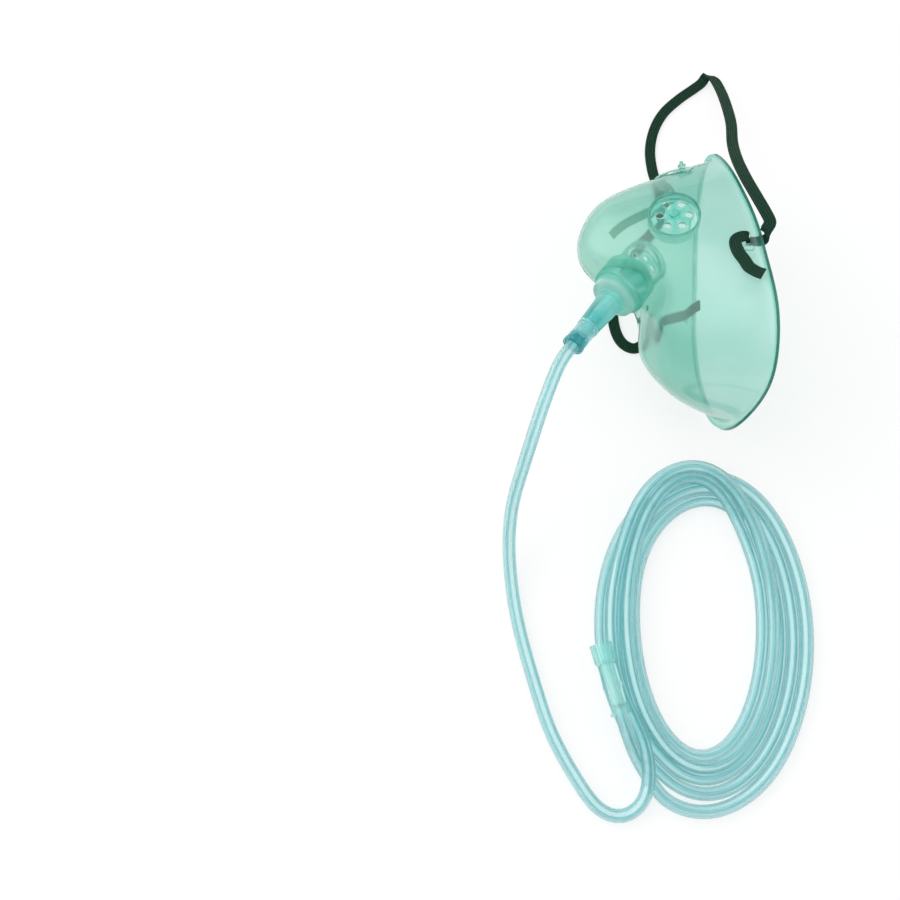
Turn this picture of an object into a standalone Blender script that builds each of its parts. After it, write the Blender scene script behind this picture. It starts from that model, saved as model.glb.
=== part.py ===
"""An oxygen face mask lying on its side, with its nose clip, head strap, swivel connector and coiled tube.

The mask is modelled upright in a frame of its own: X to the wearer's left, Y back to the face, Z up. An empty
then lays it on its side. The head strap and the tube are laid out on the surface under it.
"""

import math

import bmesh
import bpy
import numpy as np
from mathutils import Matrix, Vector
from mathutils.bvhtree import BVHTree

MM = 0.001

# Driving sizes of the moulded mask.
MASK_WIDTH = 96 * MM
MASK_HEIGHT = 147 * MM
MASK_DEPTH = 69 * MM
WALL = 1.4 * MM
FLANGE_WIDTH = 3.6 * MM
FLANGE_DROP = 0.8 * MM

# The port: where its axis leaves the wall, in hundredths of the depth and of the half height, and its slope.
PORT_FORWARD = 68
PORT_UP = -11
PORT_SLOPE = math.radians(54.6)
PORT_HOLE_RADIUS = 9.5 * MM

# Collar of the port, turned about the port's axis.
COLLAR_RADIUS = 13.4 * MM
COLLAR_FACE_RADIUS = 11.2 * MM
COLLAR_LENGTH = 11 * MM
COLLAR_STEP = 6.2 * MM
COLLAR_ROOT = 7 * MM
COLLAR_WALL = 2.2 * MM
COLLAR_END_THICKNESS = 2.4 * MM
COLLAR_LIP = 0.7 * MM
PORT_CUT_DEPTH = 12 * MM

# Swivel connector and the fluted sleeve of the tube.
RUNNING_GAP = 0.3 * MM
NECK_RADIUS = 5.4 * MM
SWIVEL_RING_RADIUS = 7 * MM
SWIVEL_RING_LENGTH = 2.6 * MM
SWIVEL_STEP_RADIUS = 6.6 * MM
SWIVEL_BODY_LENGTH = 17 * MM
SWIVEL_END_RADIUS = 5.4 * MM
SWIVEL_BORE_RADIUS = 2.2 * MM
SNAP_RADIUS = 6.8 * MM
SNAP_LENGTH = 3.2 * MM
NIPPLE_RADIUS = 3.2 * MM
NIPPLE_LENGTH = 7 * MM
SLEEVE_RADIUS = 5.1 * MM
SLEEVE_RING_RADIUS = 5.5 * MM
SLEEVE_RING_LENGTH = 1.6 * MM
SLEEVE_LENGTH = 14 * MM
SLEEVE_FLUTES = 10
FLUTE_RADIUS = 0.8 * MM
SOCKET_DEPTH = 5 * MM

# Exhalation disc, one each side of the nose.
DISC_PLACE = (53.33, 25.17)
DISC_LEAN = 0.2
DISC_RADIUS = 12.6 * MM
DISC_RING_WIDTH = 1.6 * MM
DISC_RING_RISE = 0.8 * MM
DISC_PLATE = 1.4 * MM
DISC_WALL_DEPTH = 6.5 * MM
DISC_CUT_DEPTH = 12 * MM
DISC_CUT_RISE = 8 * MM
DISC_BOSS_RADIUS = 2.4 * MM
DISC_BOSS_RISE = 1.6 * MM
DISC_HOLES = 6
DISC_HOLE_RADIUS = 1.8 * MM
DISC_HOLE_CIRCLE = 6.9 * MM

# Nose clip, a soft metal strip held by two moulded pegs.
CLIP_WIDTH = 5 * MM
CLIP_THICKNESS = 0.8 * MM
CLIP_SEAT_GAP = 0.7 * MM
CLIP_STEP = 2.6 * MM
PEG_PLACE = (18.75, 76.87)
PEG_RADIUS = 1.1 * MM
PEG_HEAD_RADIUS = 2 * MM
PEG_HEAD_LENGTH = 1.2 * MM
PEG_FREE_LENGTH = 1.6 * MM
PEG_HOLE_RADIUS = 1.5 * MM

# Head strap and the slots it passes through.
STRAP_WIDTH = 6 * MM
STRAP_THICKNESS = 1.2 * MM
STRAP_STEP = 3 * MM
SLOT_UP = 4.08
SLOT_INSET = 4.2 * MM
SLOT_CLEARANCE = 0.6 * MM
SLOT_CUT_DEPTH = 8 * MM
LUG_LENGTH = 5 * MM
LUG_WIDTH = 2.4 * MM
LUG_RISE = 1.6 * MM

# Supply tube, its coil and the connector at its far end.
TUBE_DIAMETER = 6.5 * MM
TUBE_BORE_GAP = 0.3 * MM
TUBE_STEP = 2.2 * TUBE_DIAMETER
COIL_HEIGHT = 2 * TUBE_DIAMETER
COIL_CENTRE = (124, -95)
COIL_OUTER = (49, 86)
COIL_HOLE_CENTRE = (121, -91)
COIL_HOLE = (31, 63)
COIL_TILT = math.radians(-4)
COIL_SECTIONS = 36
SUPPLY_LENGTH = 34 * MM
SUPPLY_MOUTH_RADIUS = 5.4 * MM
SUPPLY_MOUTH_LENGTH = 10 * MM
SUPPLY_MOUTH_BORE = 3.9 * MM
SUPPLY_BODY_RADIUS = 4.4 * MM
SUPPLY_RING_RADIUS = 4.9 * MM
SUPPLY_SLEEVE_RADIUS = 4.2 * MM
SUPPLY_SLEEVE_LENGTH = 13 * MM

# How the mask lies: the direction of its left side and of its nose, and where its centre is on the surface.
SIDE_DIRECTION = Vector((0.178, 0.05, 0.983))
NOSE_DIRECTION = Vector((-0.983, 0.051, 0.175))
MASK_PLACE = (132 * MM, 73 * MM)

# One row for each spoke of the wall, from the apex round the left side to the chin: the rim's place (side, up,
# forward), then how far forward the wall stands at the given shares of the way from the port to the rim. All in
# hundredths of the half width, the half height and the depth.
SHARES = (0.2, 0.42, 0.64, 0.84, 0.94)
SPOKES = (
    ((0, 100, 2), (97, 99, 80, 39, 17)),
    ((39, 79, 0), (94, 95, 78, 40, 15)),
    ((63, 49, -3), (85, 82, 67, 38, 14)),
    ((83, 16, -6), (75, 67, 49, 25, 7)),
    ((95, -16, -8), (61, 50, 35, 16, 2)),
    ((98, -49, -12), (55, 46, 32, 13, -1)),
    ((83, -77, -15), (54, 48, 37, 15, -2)),
    ((50, -93, -17), (55, 52, 46, 25, 3)),
    ((0, -99, -16), (57, 52, 47, 36, 12)),
)

# The clip's middle line over the nose, from its end by the left peg to its long right end. Like every place on the
# wall here, each is a side and a height in hundredths of the half width and the half height.
CLIP_ROUTE = (
    (25, 74.83), (18.75, 76.87), (10.42, 77.55), (0, 76.87), (-10.42, 76.87), (-18.75, 76.87),
    (-26.04, 72.11), (-29.17, 63.95), (-30.21, 55.78), (-31.25, 47.62), (-33.33, 39.46)
)

# The strap's loose end: its place on the wall, its height above it in millimetres, then the way its width points.
STRAP_TAIL = (
    ((90.42, -28.03, 2.8), (0, -0.3, -0.95)),
    ((88.12, -26.12, 2.2), (-0.1, -0.6, -0.75)),
    ((85.62, -21.77, 1.7), (-0.3, -0.85, -0.4)),
    ((83.54, -16.33, 1.5), (-0.35, -0.93, -0.1)),
    ((80.83, -10.2, 1.5), (-0.35, -0.93, 0)),
    ((78.54, -4.08, 1.5), (-0.35, -0.93, 0.1)),
    ((77.29, 0.54, 1.6), (-0.3, -0.85, 0.4)),
    ((77.71, 3.27, 1.7), (-0.2, -0.5, 0.85)),
)

# The strap from the left slot round the back of the rim, in the mask's frame: side, forward and up, in hundredths of
# the half width, the depth and the half height.
STRAP_BEHIND_RIM = (
    ((73.96, -1.45, 3.27), (-0.3, 0, 1)),
    ((74.17, -5.8, 2.99), (-0.35, 0, 1)),
    ((77.5, -10.72, 2.99), (-0.3, 0, 1)),
    ((85, -13.33, 3.27), (-0.1, 0, 1)),
)

# The strap from the rim down to the surface, round the crease, and along the surface to the right slot.
STRAP_FREE = (
    ((147.5, 79, 88.6), (-0.6, 0.8, 0)),
    ((149.5, 83, 89.2), (-1, 0.25, 0)),
    ((148, 90, 87.6), (-1, -0.1, 0)),
    ((145.5, 101, 83.5), (-1, -0.15, 0)),
    ((143.5, 114, 77), (-1, -0.2, 0)),
    ((143, 130, 67), (-1, -0.2, 0)),
    ((145, 148, 54), (-1, -0.1, 0)),
    ((149, 170, 40), (-1, 0, 0)),
    ((151, 195, 24), (-1, 0, 0)),
    ((151, 213, 12.5), (-1, 0, 0)),
    ((150, 220.5, 7.5), (-1, 0.1, 0)),
    ((147.5, 224.5, 4), (-0.95, 0.3, 0)),
    ((145, 222, 1.2), (-0.85, 0.5, 0)),
    ((140, 218, 0.9), (-0.78, 0.62, 0)),
    ((131, 211, 0.9), (-0.75, 0.65, 0)),
    ((122, 202, 0.9), (-0.8, 0.6, 0)),
    ((116, 191, 0.9), (-0.95, 0.3, 0)),
    ((113, 178, 0.9), (-1, 0.1, 0)),
    ((113.5, 165, 0.9), (-1, -0.15, 0)),
    ((116, 153, 0.9), (-1, -0.15, 0)),
    ((116.5, 140, 0.9), (-1, 0.1, 0)),
    ((112, 127, 0.9), (-0.85, 0.5, 0)),
    ((103, 117, 0.9), (-0.75, 0.7, 0)),
    ((94, 106, 0.9), (-0.85, 0.5, 0)),
    ((89, 91, 0.9), (-1, 0.2, 0)),
    ((87.5, 78, 0.9), (-1, 0.05, 0)),
    ((88.5, 67, 0.9), (-1, -0.2, 0)),
    ((92, 59.5, 0.9), (-0.7, -0.7, 0)),
    ((98, 56.5, 0.9), (0, -1, 0)),
    ((104, 60, 0.9), (0.8, -0.6, 0)),
    ((107, 66.5, 0.9), (0.9, -0.4, 0)),
    ((111, 72, 1.2), (0.5, -0.85, 0)),
)

# The tube from the sleeve to the coil, and its last stretch on top of the coil, in millimetres on the surface.
LEAD_ROUTE = (
    (46.5, 9.5, 64), (42, -2, 61), (38, -14, 53.5), (34, -25, 42), (30, -38, 27), (29, -54, 13),
    (30.5, -72, 5), (33, -89, 3.3), (37, -106, 3.3), (42, -124, 3.3), (47, -140, 3.3), (53, -153, 3.3),
    (60, -165, 3.3), (68, -176, 3.3), (77, -182, 3.3), (86, -180, 3.3), (90.5, -174, 3.3), (92.9, -168.2, 3.3)
)
TAIL_ROUTE = (
    (119, -173, 16.6), (108, -171, 16.6), (98, -165.5, 16.7), (89.5, -157, 17.6)
)
SUPPLY_PLACE = (80, -136, 18.7)
SUPPLY_DIRECTION = Vector((-0.25, 0.97, 0))

# Brings the middle of the mask, strap and connectors over the origin.
LAYOUT_SHIFT = (-104, -112.6)

NODES = {}


def collection(name, helpers=False):
    made = bpy.data.collections.new(name)
    bpy.context.scene.collection.children.link(made)
    made.hide_render = helpers
    return made


def clear_scene():
    for obj in list(bpy.data.objects):
        bpy.data.objects.remove(obj, do_unlink=True)


clear_scene()
PARTS = collection("oxygen_face_mask")
HELPERS = collection("cutters_and_guides", helpers=True)


def material(name, colour, roughness, metallic=0.0, transmission=0.0):
    made = bpy.data.materials.new(name)
    made.use_nodes = True
    shader = made.node_tree.nodes["Principled BSDF"]
    shader.inputs["Base Color"].default_value = (*colour, 1)
    shader.inputs["Roughness"].default_value = roughness
    shader.inputs["Metallic"].default_value = metallic
    shader.inputs["Transmission Weight"].default_value = transmission
    made.diffuse_color = (*colour, 1)
    return made


TEAL_VINYL = material("teal_vinyl", (0.36, 0.75, 0.63), 0.12, transmission=0.8)
CLIP_METAL = material("clip_metal", (0.55, 0.68, 0.65), 0.35, metallic=1.0)
ELASTIC = material("green_elastic", (0.02, 0.05, 0.03), 0.9)
CONNECTOR_PLASTIC = material("teal_connector_plastic", (0.12, 0.45, 0.45), 0.2, transmission=0.5)
TUBE_VINYL = material("tube_vinyl", (0.45, 0.78, 0.8), 0.15, transmission=0.7)


def empty(name, matrix, parent=None):
    made = bpy.data.objects.new(name, None)
    PARTS.objects.link(made)
    made.parent = parent
    made.matrix_local = matrix
    return made


def mesh_object(name, mesh, where, parent=None, paint=None):
    made = bpy.data.objects.new(name, mesh)
    where.objects.link(made)
    made.parent = parent
    if paint:
        mesh.materials.append(paint)
    if where is HELPERS:
        made.hide_render = True
        made.display_type = "WIRE"
    else:
        NODES[name] = made
    return made


def mesh_from(name, points, faces):
    mesh = bpy.data.meshes.new(name)
    mesh.from_pydata([tuple(p) for p in points], [], faces)
    mesh.validate()
    mesh.shade_smooth()
    return mesh


def frame_matrix(x_axis, y_axis, origin=(0, 0, 0)):
    """A matrix whose X is x_axis and whose Y is as near to y_axis as a right angle to X allows."""
    x = Vector(x_axis).normalized()
    y = Vector(y_axis)
    y = (y - x * y.dot(x)).normalized()
    turn = Matrix((x, y, x.cross(y))).transposed()
    return Matrix.Translation(origin) @ turn.to_4x4()


def along(axis, origin=(0, 0, 0)):
    """A matrix whose Z is axis and whose X lies across the mask."""
    z = Vector(axis).normalized()
    x = (Vector((1, 0, 0)) - z * z.x).normalized()
    if abs(z.x) > 0.9:
        x = (Vector((0, 0, 1)) - z * z.z).normalized()
    return frame_matrix(x, z.cross(x), origin)


def turned(name, profile, matrix, where, parent=None, paint=None, steps=32):
    """A solid of revolution about Z. The profile goes once round the section, and may stand on the axis."""
    mesh = bpy.data.meshes.new(name)
    edges = [(i, i + 1) for i in range(len(profile) - 1)]
    on_axis = profile[0][0] == 0 and profile[-1][0] == 0
    if not on_axis:
        edges.append((len(profile) - 1, 0))
    mesh.from_pydata([(r, 0, z) for r, z in profile], edges, [])
    made = mesh_object(name, mesh, where, parent, paint)
    made.matrix_local = matrix
    screw = made.modifiers.new("turned", "SCREW")
    screw.steps = screw.render_steps = steps
    screw.use_merge_vertices = True
    screw.merge_threshold = 0.000005
    screw.use_smooth_shade = False
    return made


def cylinder(name, radius, low, high, matrix, segments=24, parent=None):
    """A round cutter or post from low to high along Z."""
    mesh = bpy.data.meshes.new(name)
    build = bmesh.new()
    bmesh.ops.create_cone(
        build, cap_ends=True, segments=segments, radius1=radius, radius2=radius, depth=high - low
    )
    bmesh.ops.translate(build, verts=build.verts, vec=(0, 0, (high + low) / 2))
    build.to_mesh(mesh)
    build.free()
    made = mesh_object(name, mesh, HELPERS, parent)
    made.matrix_local = matrix
    return made


def block(name, size, matrix, parent=None):
    """A box cutter or tab centred on the matrix."""
    mesh = bpy.data.meshes.new(name)
    build = bmesh.new()
    bmesh.ops.create_cube(build, size=1, matrix=Matrix.Diagonal((*size, 1)))
    build.to_mesh(mesh)
    build.free()
    made = mesh_object(name, mesh, HELPERS, parent)
    made.matrix_local = matrix
    return made


def combine(obj, operation, others, label):
    """One Boolean for a group of helpers, which get a collection of their own."""
    group = bpy.data.collections.new(label)
    HELPERS.children.link(group)
    for other in others:
        group.objects.link(other)
        HELPERS.objects.unlink(other)
    boolean = obj.modifiers.new(label, "BOOLEAN")
    boolean.operation = operation
    boolean.operand_type = "COLLECTION"
    boolean.collection = group
    boolean.solver = "EXACT"
    boolean.use_self = True


def evaluated_mesh(obj):
    graph = bpy.context.evaluated_depsgraph_get()
    return obj.evaluated_get(graph).to_mesh()


# The mask's own frame, laid on its side by a parent empty. The layout empty carries everything.
LAYOUT = empty("layout", Matrix())
MASK_LAY = frame_matrix(SIDE_DIRECTION, -NOSE_DIRECTION, (*MASK_PLACE, 0))
MASK = empty("mask_frame", MASK_LAY, LAYOUT)


def port_frame():
    """Where the port's axis leaves the wall, with Z out along the axis, in the mask's frame."""
    centre = Vector((0, -PORT_FORWARD / 100 * MASK_DEPTH, PORT_UP / 100 * MASK_HEIGHT / 2))
    axis = Vector((0, -math.cos(PORT_SLOPE), -math.sin(PORT_SLOPE)))
    return frame_matrix((1, 0, 0), axis.cross(Vector((1, 0, 0))), centre)


PORT = port_frame()


def spoke_points(number):
    """The points of one spoke, from the port's hole over the wall to the edge of the flange."""
    rim, rises = SPOKES[number]
    angle = math.pi * number / (len(SPOKES) - 1)
    hole = PORT @ Vector((math.sin(angle) * PORT_HOLE_RADIUS, -math.cos(angle) * PORT_HOLE_RADIUS, 0))
    edge = Vector((rim[0] / 100 * MASK_WIDTH / 2, -rim[2] / 100 * MASK_DEPTH, rim[1] / 100 * MASK_HEIGHT / 2))
    outward = Vector((edge.x, 0, edge.z)).normalized()
    bend = edge - outward * FLANGE_WIDTH
    bend.y -= FLANGE_DROP
    points = [hole]
    for share, rise in zip(SHARES, rises):
        point = hole.lerp(bend, share)
        point.y = -rise / 100 * MASK_DEPTH
        points.append(point)
    return points + [bend, edge]


def cage_through(points):
    """Moves a half cage so that its smooth surface passes through the given points, spokes by rings."""
    half = np.array(points)
    mirrored = half[-2:0:-1] * np.array((-1, 1, 1))
    full = np.concatenate((half, mirrored))
    spokes, rings = full.shape[:2]
    round_ = np.eye(spokes) * 4 / 6 + (np.roll(np.eye(spokes), 1, 0) + np.roll(np.eye(spokes), -1, 0)) / 6
    across = np.eye(rings)
    for ring in range(1, rings - 1):
        across[ring, ring - 1 : ring + 2] = (1 / 6, 4 / 6, 1 / 6)
    moved = np.einsum("ij,jkc->ikc", np.linalg.inv(round_), full)
    moved = np.einsum("ij,kjc->kic", np.linalg.inv(across), moved)
    return moved[: len(half)]


def make_wall():
    """The wall as half a cage, mirrored and smoothed. Its outer face is the cage's own surface."""
    cage = cage_through([spoke_points(i) for i in range(len(SPOKES))])
    cage[0, :, 0] = 0
    cage[-1, :, 0] = 0
    spokes, rings = cage.shape[:2]
    faces = []
    for i in range(spokes - 1):
        for j in range(rings - 1):
            a = i * rings + j
            faces.append((a, a + rings, a + rings + 1, a + 1))
    mesh = mesh_from("mask_shell", cage.reshape(-1, 3), faces)
    wall = mesh_object("mask_shell", mesh, PARTS, MASK, TEAL_VINYL)
    mirror = wall.modifiers.new("both halves", "MIRROR")
    mirror.merge_threshold = 0.00001
    mirror.use_clip = True
    smooth = wall.modifiers.new("smooth wall", "SUBSURF")
    smooth.levels = smooth.render_levels = 2
    return wall


WALL_OBJECT = make_wall()
bpy.context.view_layer.update()


def skin_tree():
    mesh = evaluated_mesh(WALL_OBJECT)
    return BVHTree.FromPolygons([v.co.copy() for v in mesh.vertices], [list(p.vertices) for p in mesh.polygons])


SKIN = skin_tree()


def wall_place(side, up):
    """Turns hundredths of the half width and the half height into metres."""
    return side / 100 * MASK_WIDTH / 2, up / 100 * MASK_HEIGHT / 2


def on_skin(side, up):
    """The outer face of the wall at this place seen from the front, and the direction out of it."""
    start = Vector((side, -2 * MASK_DEPTH, up))
    point, normal, _, _ = SKIN.ray_cast(start, Vector((0, 1, 0)))
    if normal.y > 0:
        normal = -normal
    return point, normal


def averaged_normal(side, up, radius, samples=12):
    """The direction out of the wall, averaged over a round patch of it."""
    total = Vector()
    reach = radius * on_skin(side, up)[1].dot(Vector((0, -1, 0)))
    for i in range(samples):
        angle = math.tau * i / samples
        total += on_skin(side + reach * math.cos(angle), up + reach * math.sin(angle))[1]
    return total.normalized()


def disc_frame(sign):
    """The disc's frame. It leans a little more to the chin than the wall under it."""
    side, up = wall_place(sign * DISC_PLACE[0], DISC_PLACE[1])
    point, _ = on_skin(side, up)
    out = averaged_normal(side, up, DISC_RADIUS * 0.8) - Vector((0, 0, DISC_LEAN))
    return along(out, point)


def make_disc(sign, side_name):
    """A flat exhalation disc: a ring that stands in the wall, a thin plate with a boss, and six holes."""
    matrix = disc_frame(sign)
    inner = DISC_RADIUS - DISC_RING_WIDTH
    profile = [
        (0, DISC_BOSS_RISE),
        (DISC_BOSS_RADIUS * 0.75, DISC_BOSS_RISE),
        (DISC_BOSS_RADIUS, DISC_BOSS_RISE * 0.7),
        (DISC_BOSS_RADIUS, 0),
        (inner, 0),
        (inner, DISC_RING_RISE),
        (DISC_RADIUS, DISC_RING_RISE),
        (DISC_RADIUS, -DISC_WALL_DEPTH),
        (inner, -DISC_WALL_DEPTH),
        (inner, -DISC_PLATE),
        (0, -DISC_PLATE),
    ]
    disc = turned(f"disc_{side_name}", profile, matrix, HELPERS, MASK, steps=24)
    drills = []
    for i in range(DISC_HOLES):
        angle = math.tau * (i + 0.5) / DISC_HOLES
        centre = Vector((DISC_HOLE_CIRCLE * math.cos(angle), DISC_HOLE_CIRCLE * math.sin(angle), 0))
        at = matrix @ Matrix.Translation(centre)
        drills.append(
            cylinder(f"disc_drill_{side_name}_{i}", DISC_HOLE_RADIUS, -3 * MM, 2 * MM, at, 10, MASK)
        )
    combine(disc, "DIFFERENCE", drills, f"disc holes {side_name}")
    radius = DISC_RADIUS - DISC_RING_WIDTH / 2
    window = cylinder(f"disc_window_{side_name}", radius, -DISC_CUT_DEPTH, DISC_CUT_RISE, matrix, 24, MASK)
    return disc, window


def make_collar():
    """The thick port collar: two tiers outside, a wide bore, and an end plate with the neck's hole."""
    bore = COLLAR_RADIUS - COLLAR_WALL
    hole = NECK_RADIUS + RUNNING_GAP
    profile = [
        (hole, COLLAR_LENGTH),
        (COLLAR_FACE_RADIUS - COLLAR_LIP, COLLAR_LENGTH),
        (COLLAR_FACE_RADIUS, COLLAR_LENGTH - COLLAR_LIP),
        (COLLAR_FACE_RADIUS + 0.3 * MM, COLLAR_STEP + COLLAR_LIP),
        (COLLAR_RADIUS - COLLAR_LIP, COLLAR_STEP + COLLAR_LIP / 2),
        (COLLAR_RADIUS, COLLAR_STEP - COLLAR_LIP / 2),
        (COLLAR_RADIUS, -COLLAR_ROOT),
        (bore, -COLLAR_ROOT),
        (bore, COLLAR_STEP - COLLAR_LIP),
        (COLLAR_FACE_RADIUS - COLLAR_WALL, COLLAR_LENGTH - COLLAR_END_THICKNESS),
        (hole, COLLAR_LENGTH - COLLAR_END_THICKNESS),
    ]
    collar = turned("port_collar", profile, PORT, HELPERS, MASK, steps=36)
    radius = COLLAR_RADIUS - COLLAR_WALL / 2
    window = cylinder("port_window", radius, -PORT_CUT_DEPTH, PORT_CUT_DEPTH, PORT, 36, MASK)
    return collar, window


def peg_frame(sign):
    side, up = wall_place(sign * PEG_PLACE[0], PEG_PLACE[1])
    return along(averaged_normal(side, up, 2 * MM), on_skin(side, up)[0])


def make_peg(sign, side_name):
    """A post moulded on the wall, with a wider head above the clip."""
    neck_top = CLIP_SEAT_GAP + CLIP_THICKNESS + CLIP_SEAT_GAP
    head_top = neck_top + PEG_HEAD_LENGTH
    profile = [
        (0, head_top + PEG_FREE_LENGTH),
        (PEG_RADIUS * 0.8, head_top + PEG_FREE_LENGTH),
        (PEG_RADIUS, head_top),
        (PEG_HEAD_RADIUS, head_top),
        (PEG_HEAD_RADIUS, neck_top),
        (PEG_RADIUS, neck_top),
        (PEG_RADIUS, -WALL * 0.6),
        (0, -WALL * 0.6),
    ]
    return turned(f"clip_peg_{side_name}", profile, peg_frame(sign), HELPERS, MASK, steps=12)


def slot_frame(sign):
    """A frame in the wall beside the flange: Z out of the wall, Y up along the rim."""
    _, height = wall_place(0, SLOT_UP)
    side = sign * (rim_side(height) - SLOT_INSET)
    point, _ = on_skin(side, height)
    out = averaged_normal(side, height, 1.5 * MM)
    up = Vector((0, 0, 1))
    return frame_matrix(up.cross(out), up, point)


def rim_side(up):
    """Half the width of the mask at this height, read from the flange's own points."""
    edges = [spoke_points(i)[-1] for i in range(len(SPOKES))]
    for above, below in zip(edges, edges[1:]):
        if above.z >= up >= below.z:
            share = (above.z - up) / (above.z - below.z)
            return above.x + (below.x - above.x) * share
    return MASK_WIDTH / 2


def make_slot(sign, side_name):
    """The strap's slot through the wall, and the small lug that stands beside it."""
    matrix = slot_frame(sign)
    size = (STRAP_THICKNESS + 2 * SLOT_CLEARANCE, STRAP_WIDTH + 2 * SLOT_CLEARANCE, SLOT_CUT_DEPTH)
    slot = block(f"strap_slot_{side_name}", size, matrix, MASK)
    below = STRAP_WIDTH / 2 + SLOT_CLEARANCE + LUG_WIDTH
    aside = matrix @ Matrix.Translation((0, -below, LUG_RISE / 2 - WALL / 4))
    lug = block(f"strap_lug_{side_name}", (LUG_LENGTH, LUG_WIDTH, LUG_RISE + WALL / 2), aside, MASK)
    return slot, lug


def finish_shell():
    """Gives the wall its thickness, opens it, and joins what is moulded with it."""
    solid = WALL_OBJECT.modifiers.new("wall thickness", "SOLIDIFY")
    solid.thickness = WALL
    solid.offset = -1
    solid.use_even_offset = True
    solid.use_quality_normals = True
    openings = []
    moulded = []
    collar, port_window = make_collar()
    openings.append(port_window)
    moulded.append(collar)
    for sign, side_name in ((1, "left"), (-1, "right")):
        disc, window = make_disc(sign, side_name)
        slot, lug = make_slot(sign, side_name)
        openings += [window, slot]
        moulded += [disc, lug, make_peg(sign, side_name)]
    combine(WALL_OBJECT, "DIFFERENCE", openings, "openings")
    combine(WALL_OBJECT, "UNION", moulded, "moulded on")


finish_shell()


def rest_on_surface():
    """Raises the mask until its lowest point touches the surface."""
    bpy.context.view_layer.update()
    low = min((MASK.matrix_world @ v.co).z for v in evaluated_mesh(WALL_OBJECT).vertices)
    MASK.location.z -= low
    bpy.context.view_layer.update()


rest_on_surface()


def flowing(route, step):
    """Evenly spaced points along a smooth curve through the points of a route, each with all of its numbers."""
    ends = (route[0], *route, route[-1])
    dense = []
    for p, a, b, q in zip(ends, ends[1:], ends[2:], ends[3:]):
        for i in range(12):
            t = i / 12
            dense.append(
                a + (b - p) * (t / 2) + (p * 2 - a * 5 + b * 4 - q) * (t * t / 2)
                + (a * 3 - p - b * 3 + q) * (t**3 / 2)
            )
    dense.append(route[-1])
    dense = np.array(dense)
    reached = np.concatenate(((0,), np.cumsum(np.linalg.norm(np.diff(dense[:, :3], axis=0), axis=1))))
    count = max(2, round(reached[-1] / step) + 1)
    wanted = np.linspace(0, reached[-1], count)
    return np.stack([np.interp(wanted, reached, dense[:, k]) for k in range(dense.shape[1])], axis=1)


def ribbon(name, points, across, thickness, parent, paint, where=PARTS):
    """A flat band: its middle line, the half width at each point, and its thickness by Solidify."""
    verts = []
    for point, half in zip(points, across):
        verts += [point - half, point + half]
    faces = [(2 * i, 2 * i + 1, 2 * i + 3, 2 * i + 2) for i in range(len(points) - 1)]
    band = mesh_object(name, mesh_from(name, verts, faces), where, parent, paint)
    solid = band.modifiers.new("thickness", "SOLIDIFY")
    solid.thickness = thickness
    solid.offset = 0
    solid.use_even_offset = True
    return band


def make_clip():
    """The nose clip: a strip bent over the bridge of the nose, with a hole over each peg."""
    lift = CLIP_SEAT_GAP + CLIP_THICKNESS / 2
    route = flowing([np.array((*wall_place(side, up), 0)) for side, up in CLIP_ROUTE], CLIP_STEP)
    normals = [averaged_normal(side, up, 1.5 * MM) for side, up, _ in route]
    points = [on_skin(side, up)[0] + normal * lift for (side, up, _), normal in zip(route, normals)]
    across = []
    for i, normal in enumerate(normals):
        ahead = points[min(i + 1, len(points) - 1)] - points[max(i - 1, 0)]
        across.append(ahead.cross(normal).normalized() * CLIP_WIDTH / 2)
    clip = ribbon("nose_clip", points, across, CLIP_THICKNESS, MASK, CLIP_METAL)
    drills = [
        cylinder(f"clip_drill_{i}", PEG_HOLE_RADIUS, -2 * MM, 4 * MM, peg_frame(sign), 12, MASK)
        for i, sign in enumerate((1, -1))
    ]
    combine(clip, "DIFFERENCE", drills, "peg holes")
    return clip


make_clip()


def strap_stations():
    """The strap's middle line and the way its width points, all in the layout's frame."""
    stations = []

    def add(matrix, place, width):
        stations.append(np.array((*(matrix @ Vector(place)), *(matrix.to_3x3() @ Vector(width)))))

    mask = MASK.matrix_local
    for (side, up, lift), width in STRAP_TAIL:
        point, normal = on_skin(*wall_place(side, up))
        add(mask, point + normal * (lift * MM), width)
    near = slot_frame(1)
    for out in (0.9, -0.8, -2):
        add(mask @ near, (0, 0, out * MM), (0, 1, 0))
    for (side, forward, height), width in STRAP_BEHIND_RIM:
        across, up = wall_place(side, height)
        add(mask, (across, -forward / 100 * MASK_DEPTH, up), width)
    for place, width in STRAP_FREE:
        add(Matrix(), Vector(place) * MM, width)
    far = slot_frame(-1)
    for out in (5, 0, -4, -9):
        add(mask @ far, (0, 0, out * MM), (0, -1, 0))
    return stations


def make_strap():
    """The head strap: one flat elastic band from its loose end on the left, through both slots."""
    route = flowing(strap_stations(), STRAP_STEP)
    points = [Vector(row[:3]) for row in route]
    across = []
    for i, row in enumerate(route):
        ahead = (points[min(i + 1, len(points) - 1)] - points[max(i - 1, 0)]).normalized()
        width = Vector(row[3:])
        across.append((width - ahead * width.dot(ahead)).normalized() * STRAP_WIDTH / 2)
    return ribbon("head_strap", points, across, STRAP_THICKNESS, LAYOUT, ELASTIC)


make_strap()

# The swivel connector and the sleeve turn on the port's axis, so their parent empty stands on it.
SWIVEL = empty("swivel_axis", PORT, MASK)


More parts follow.
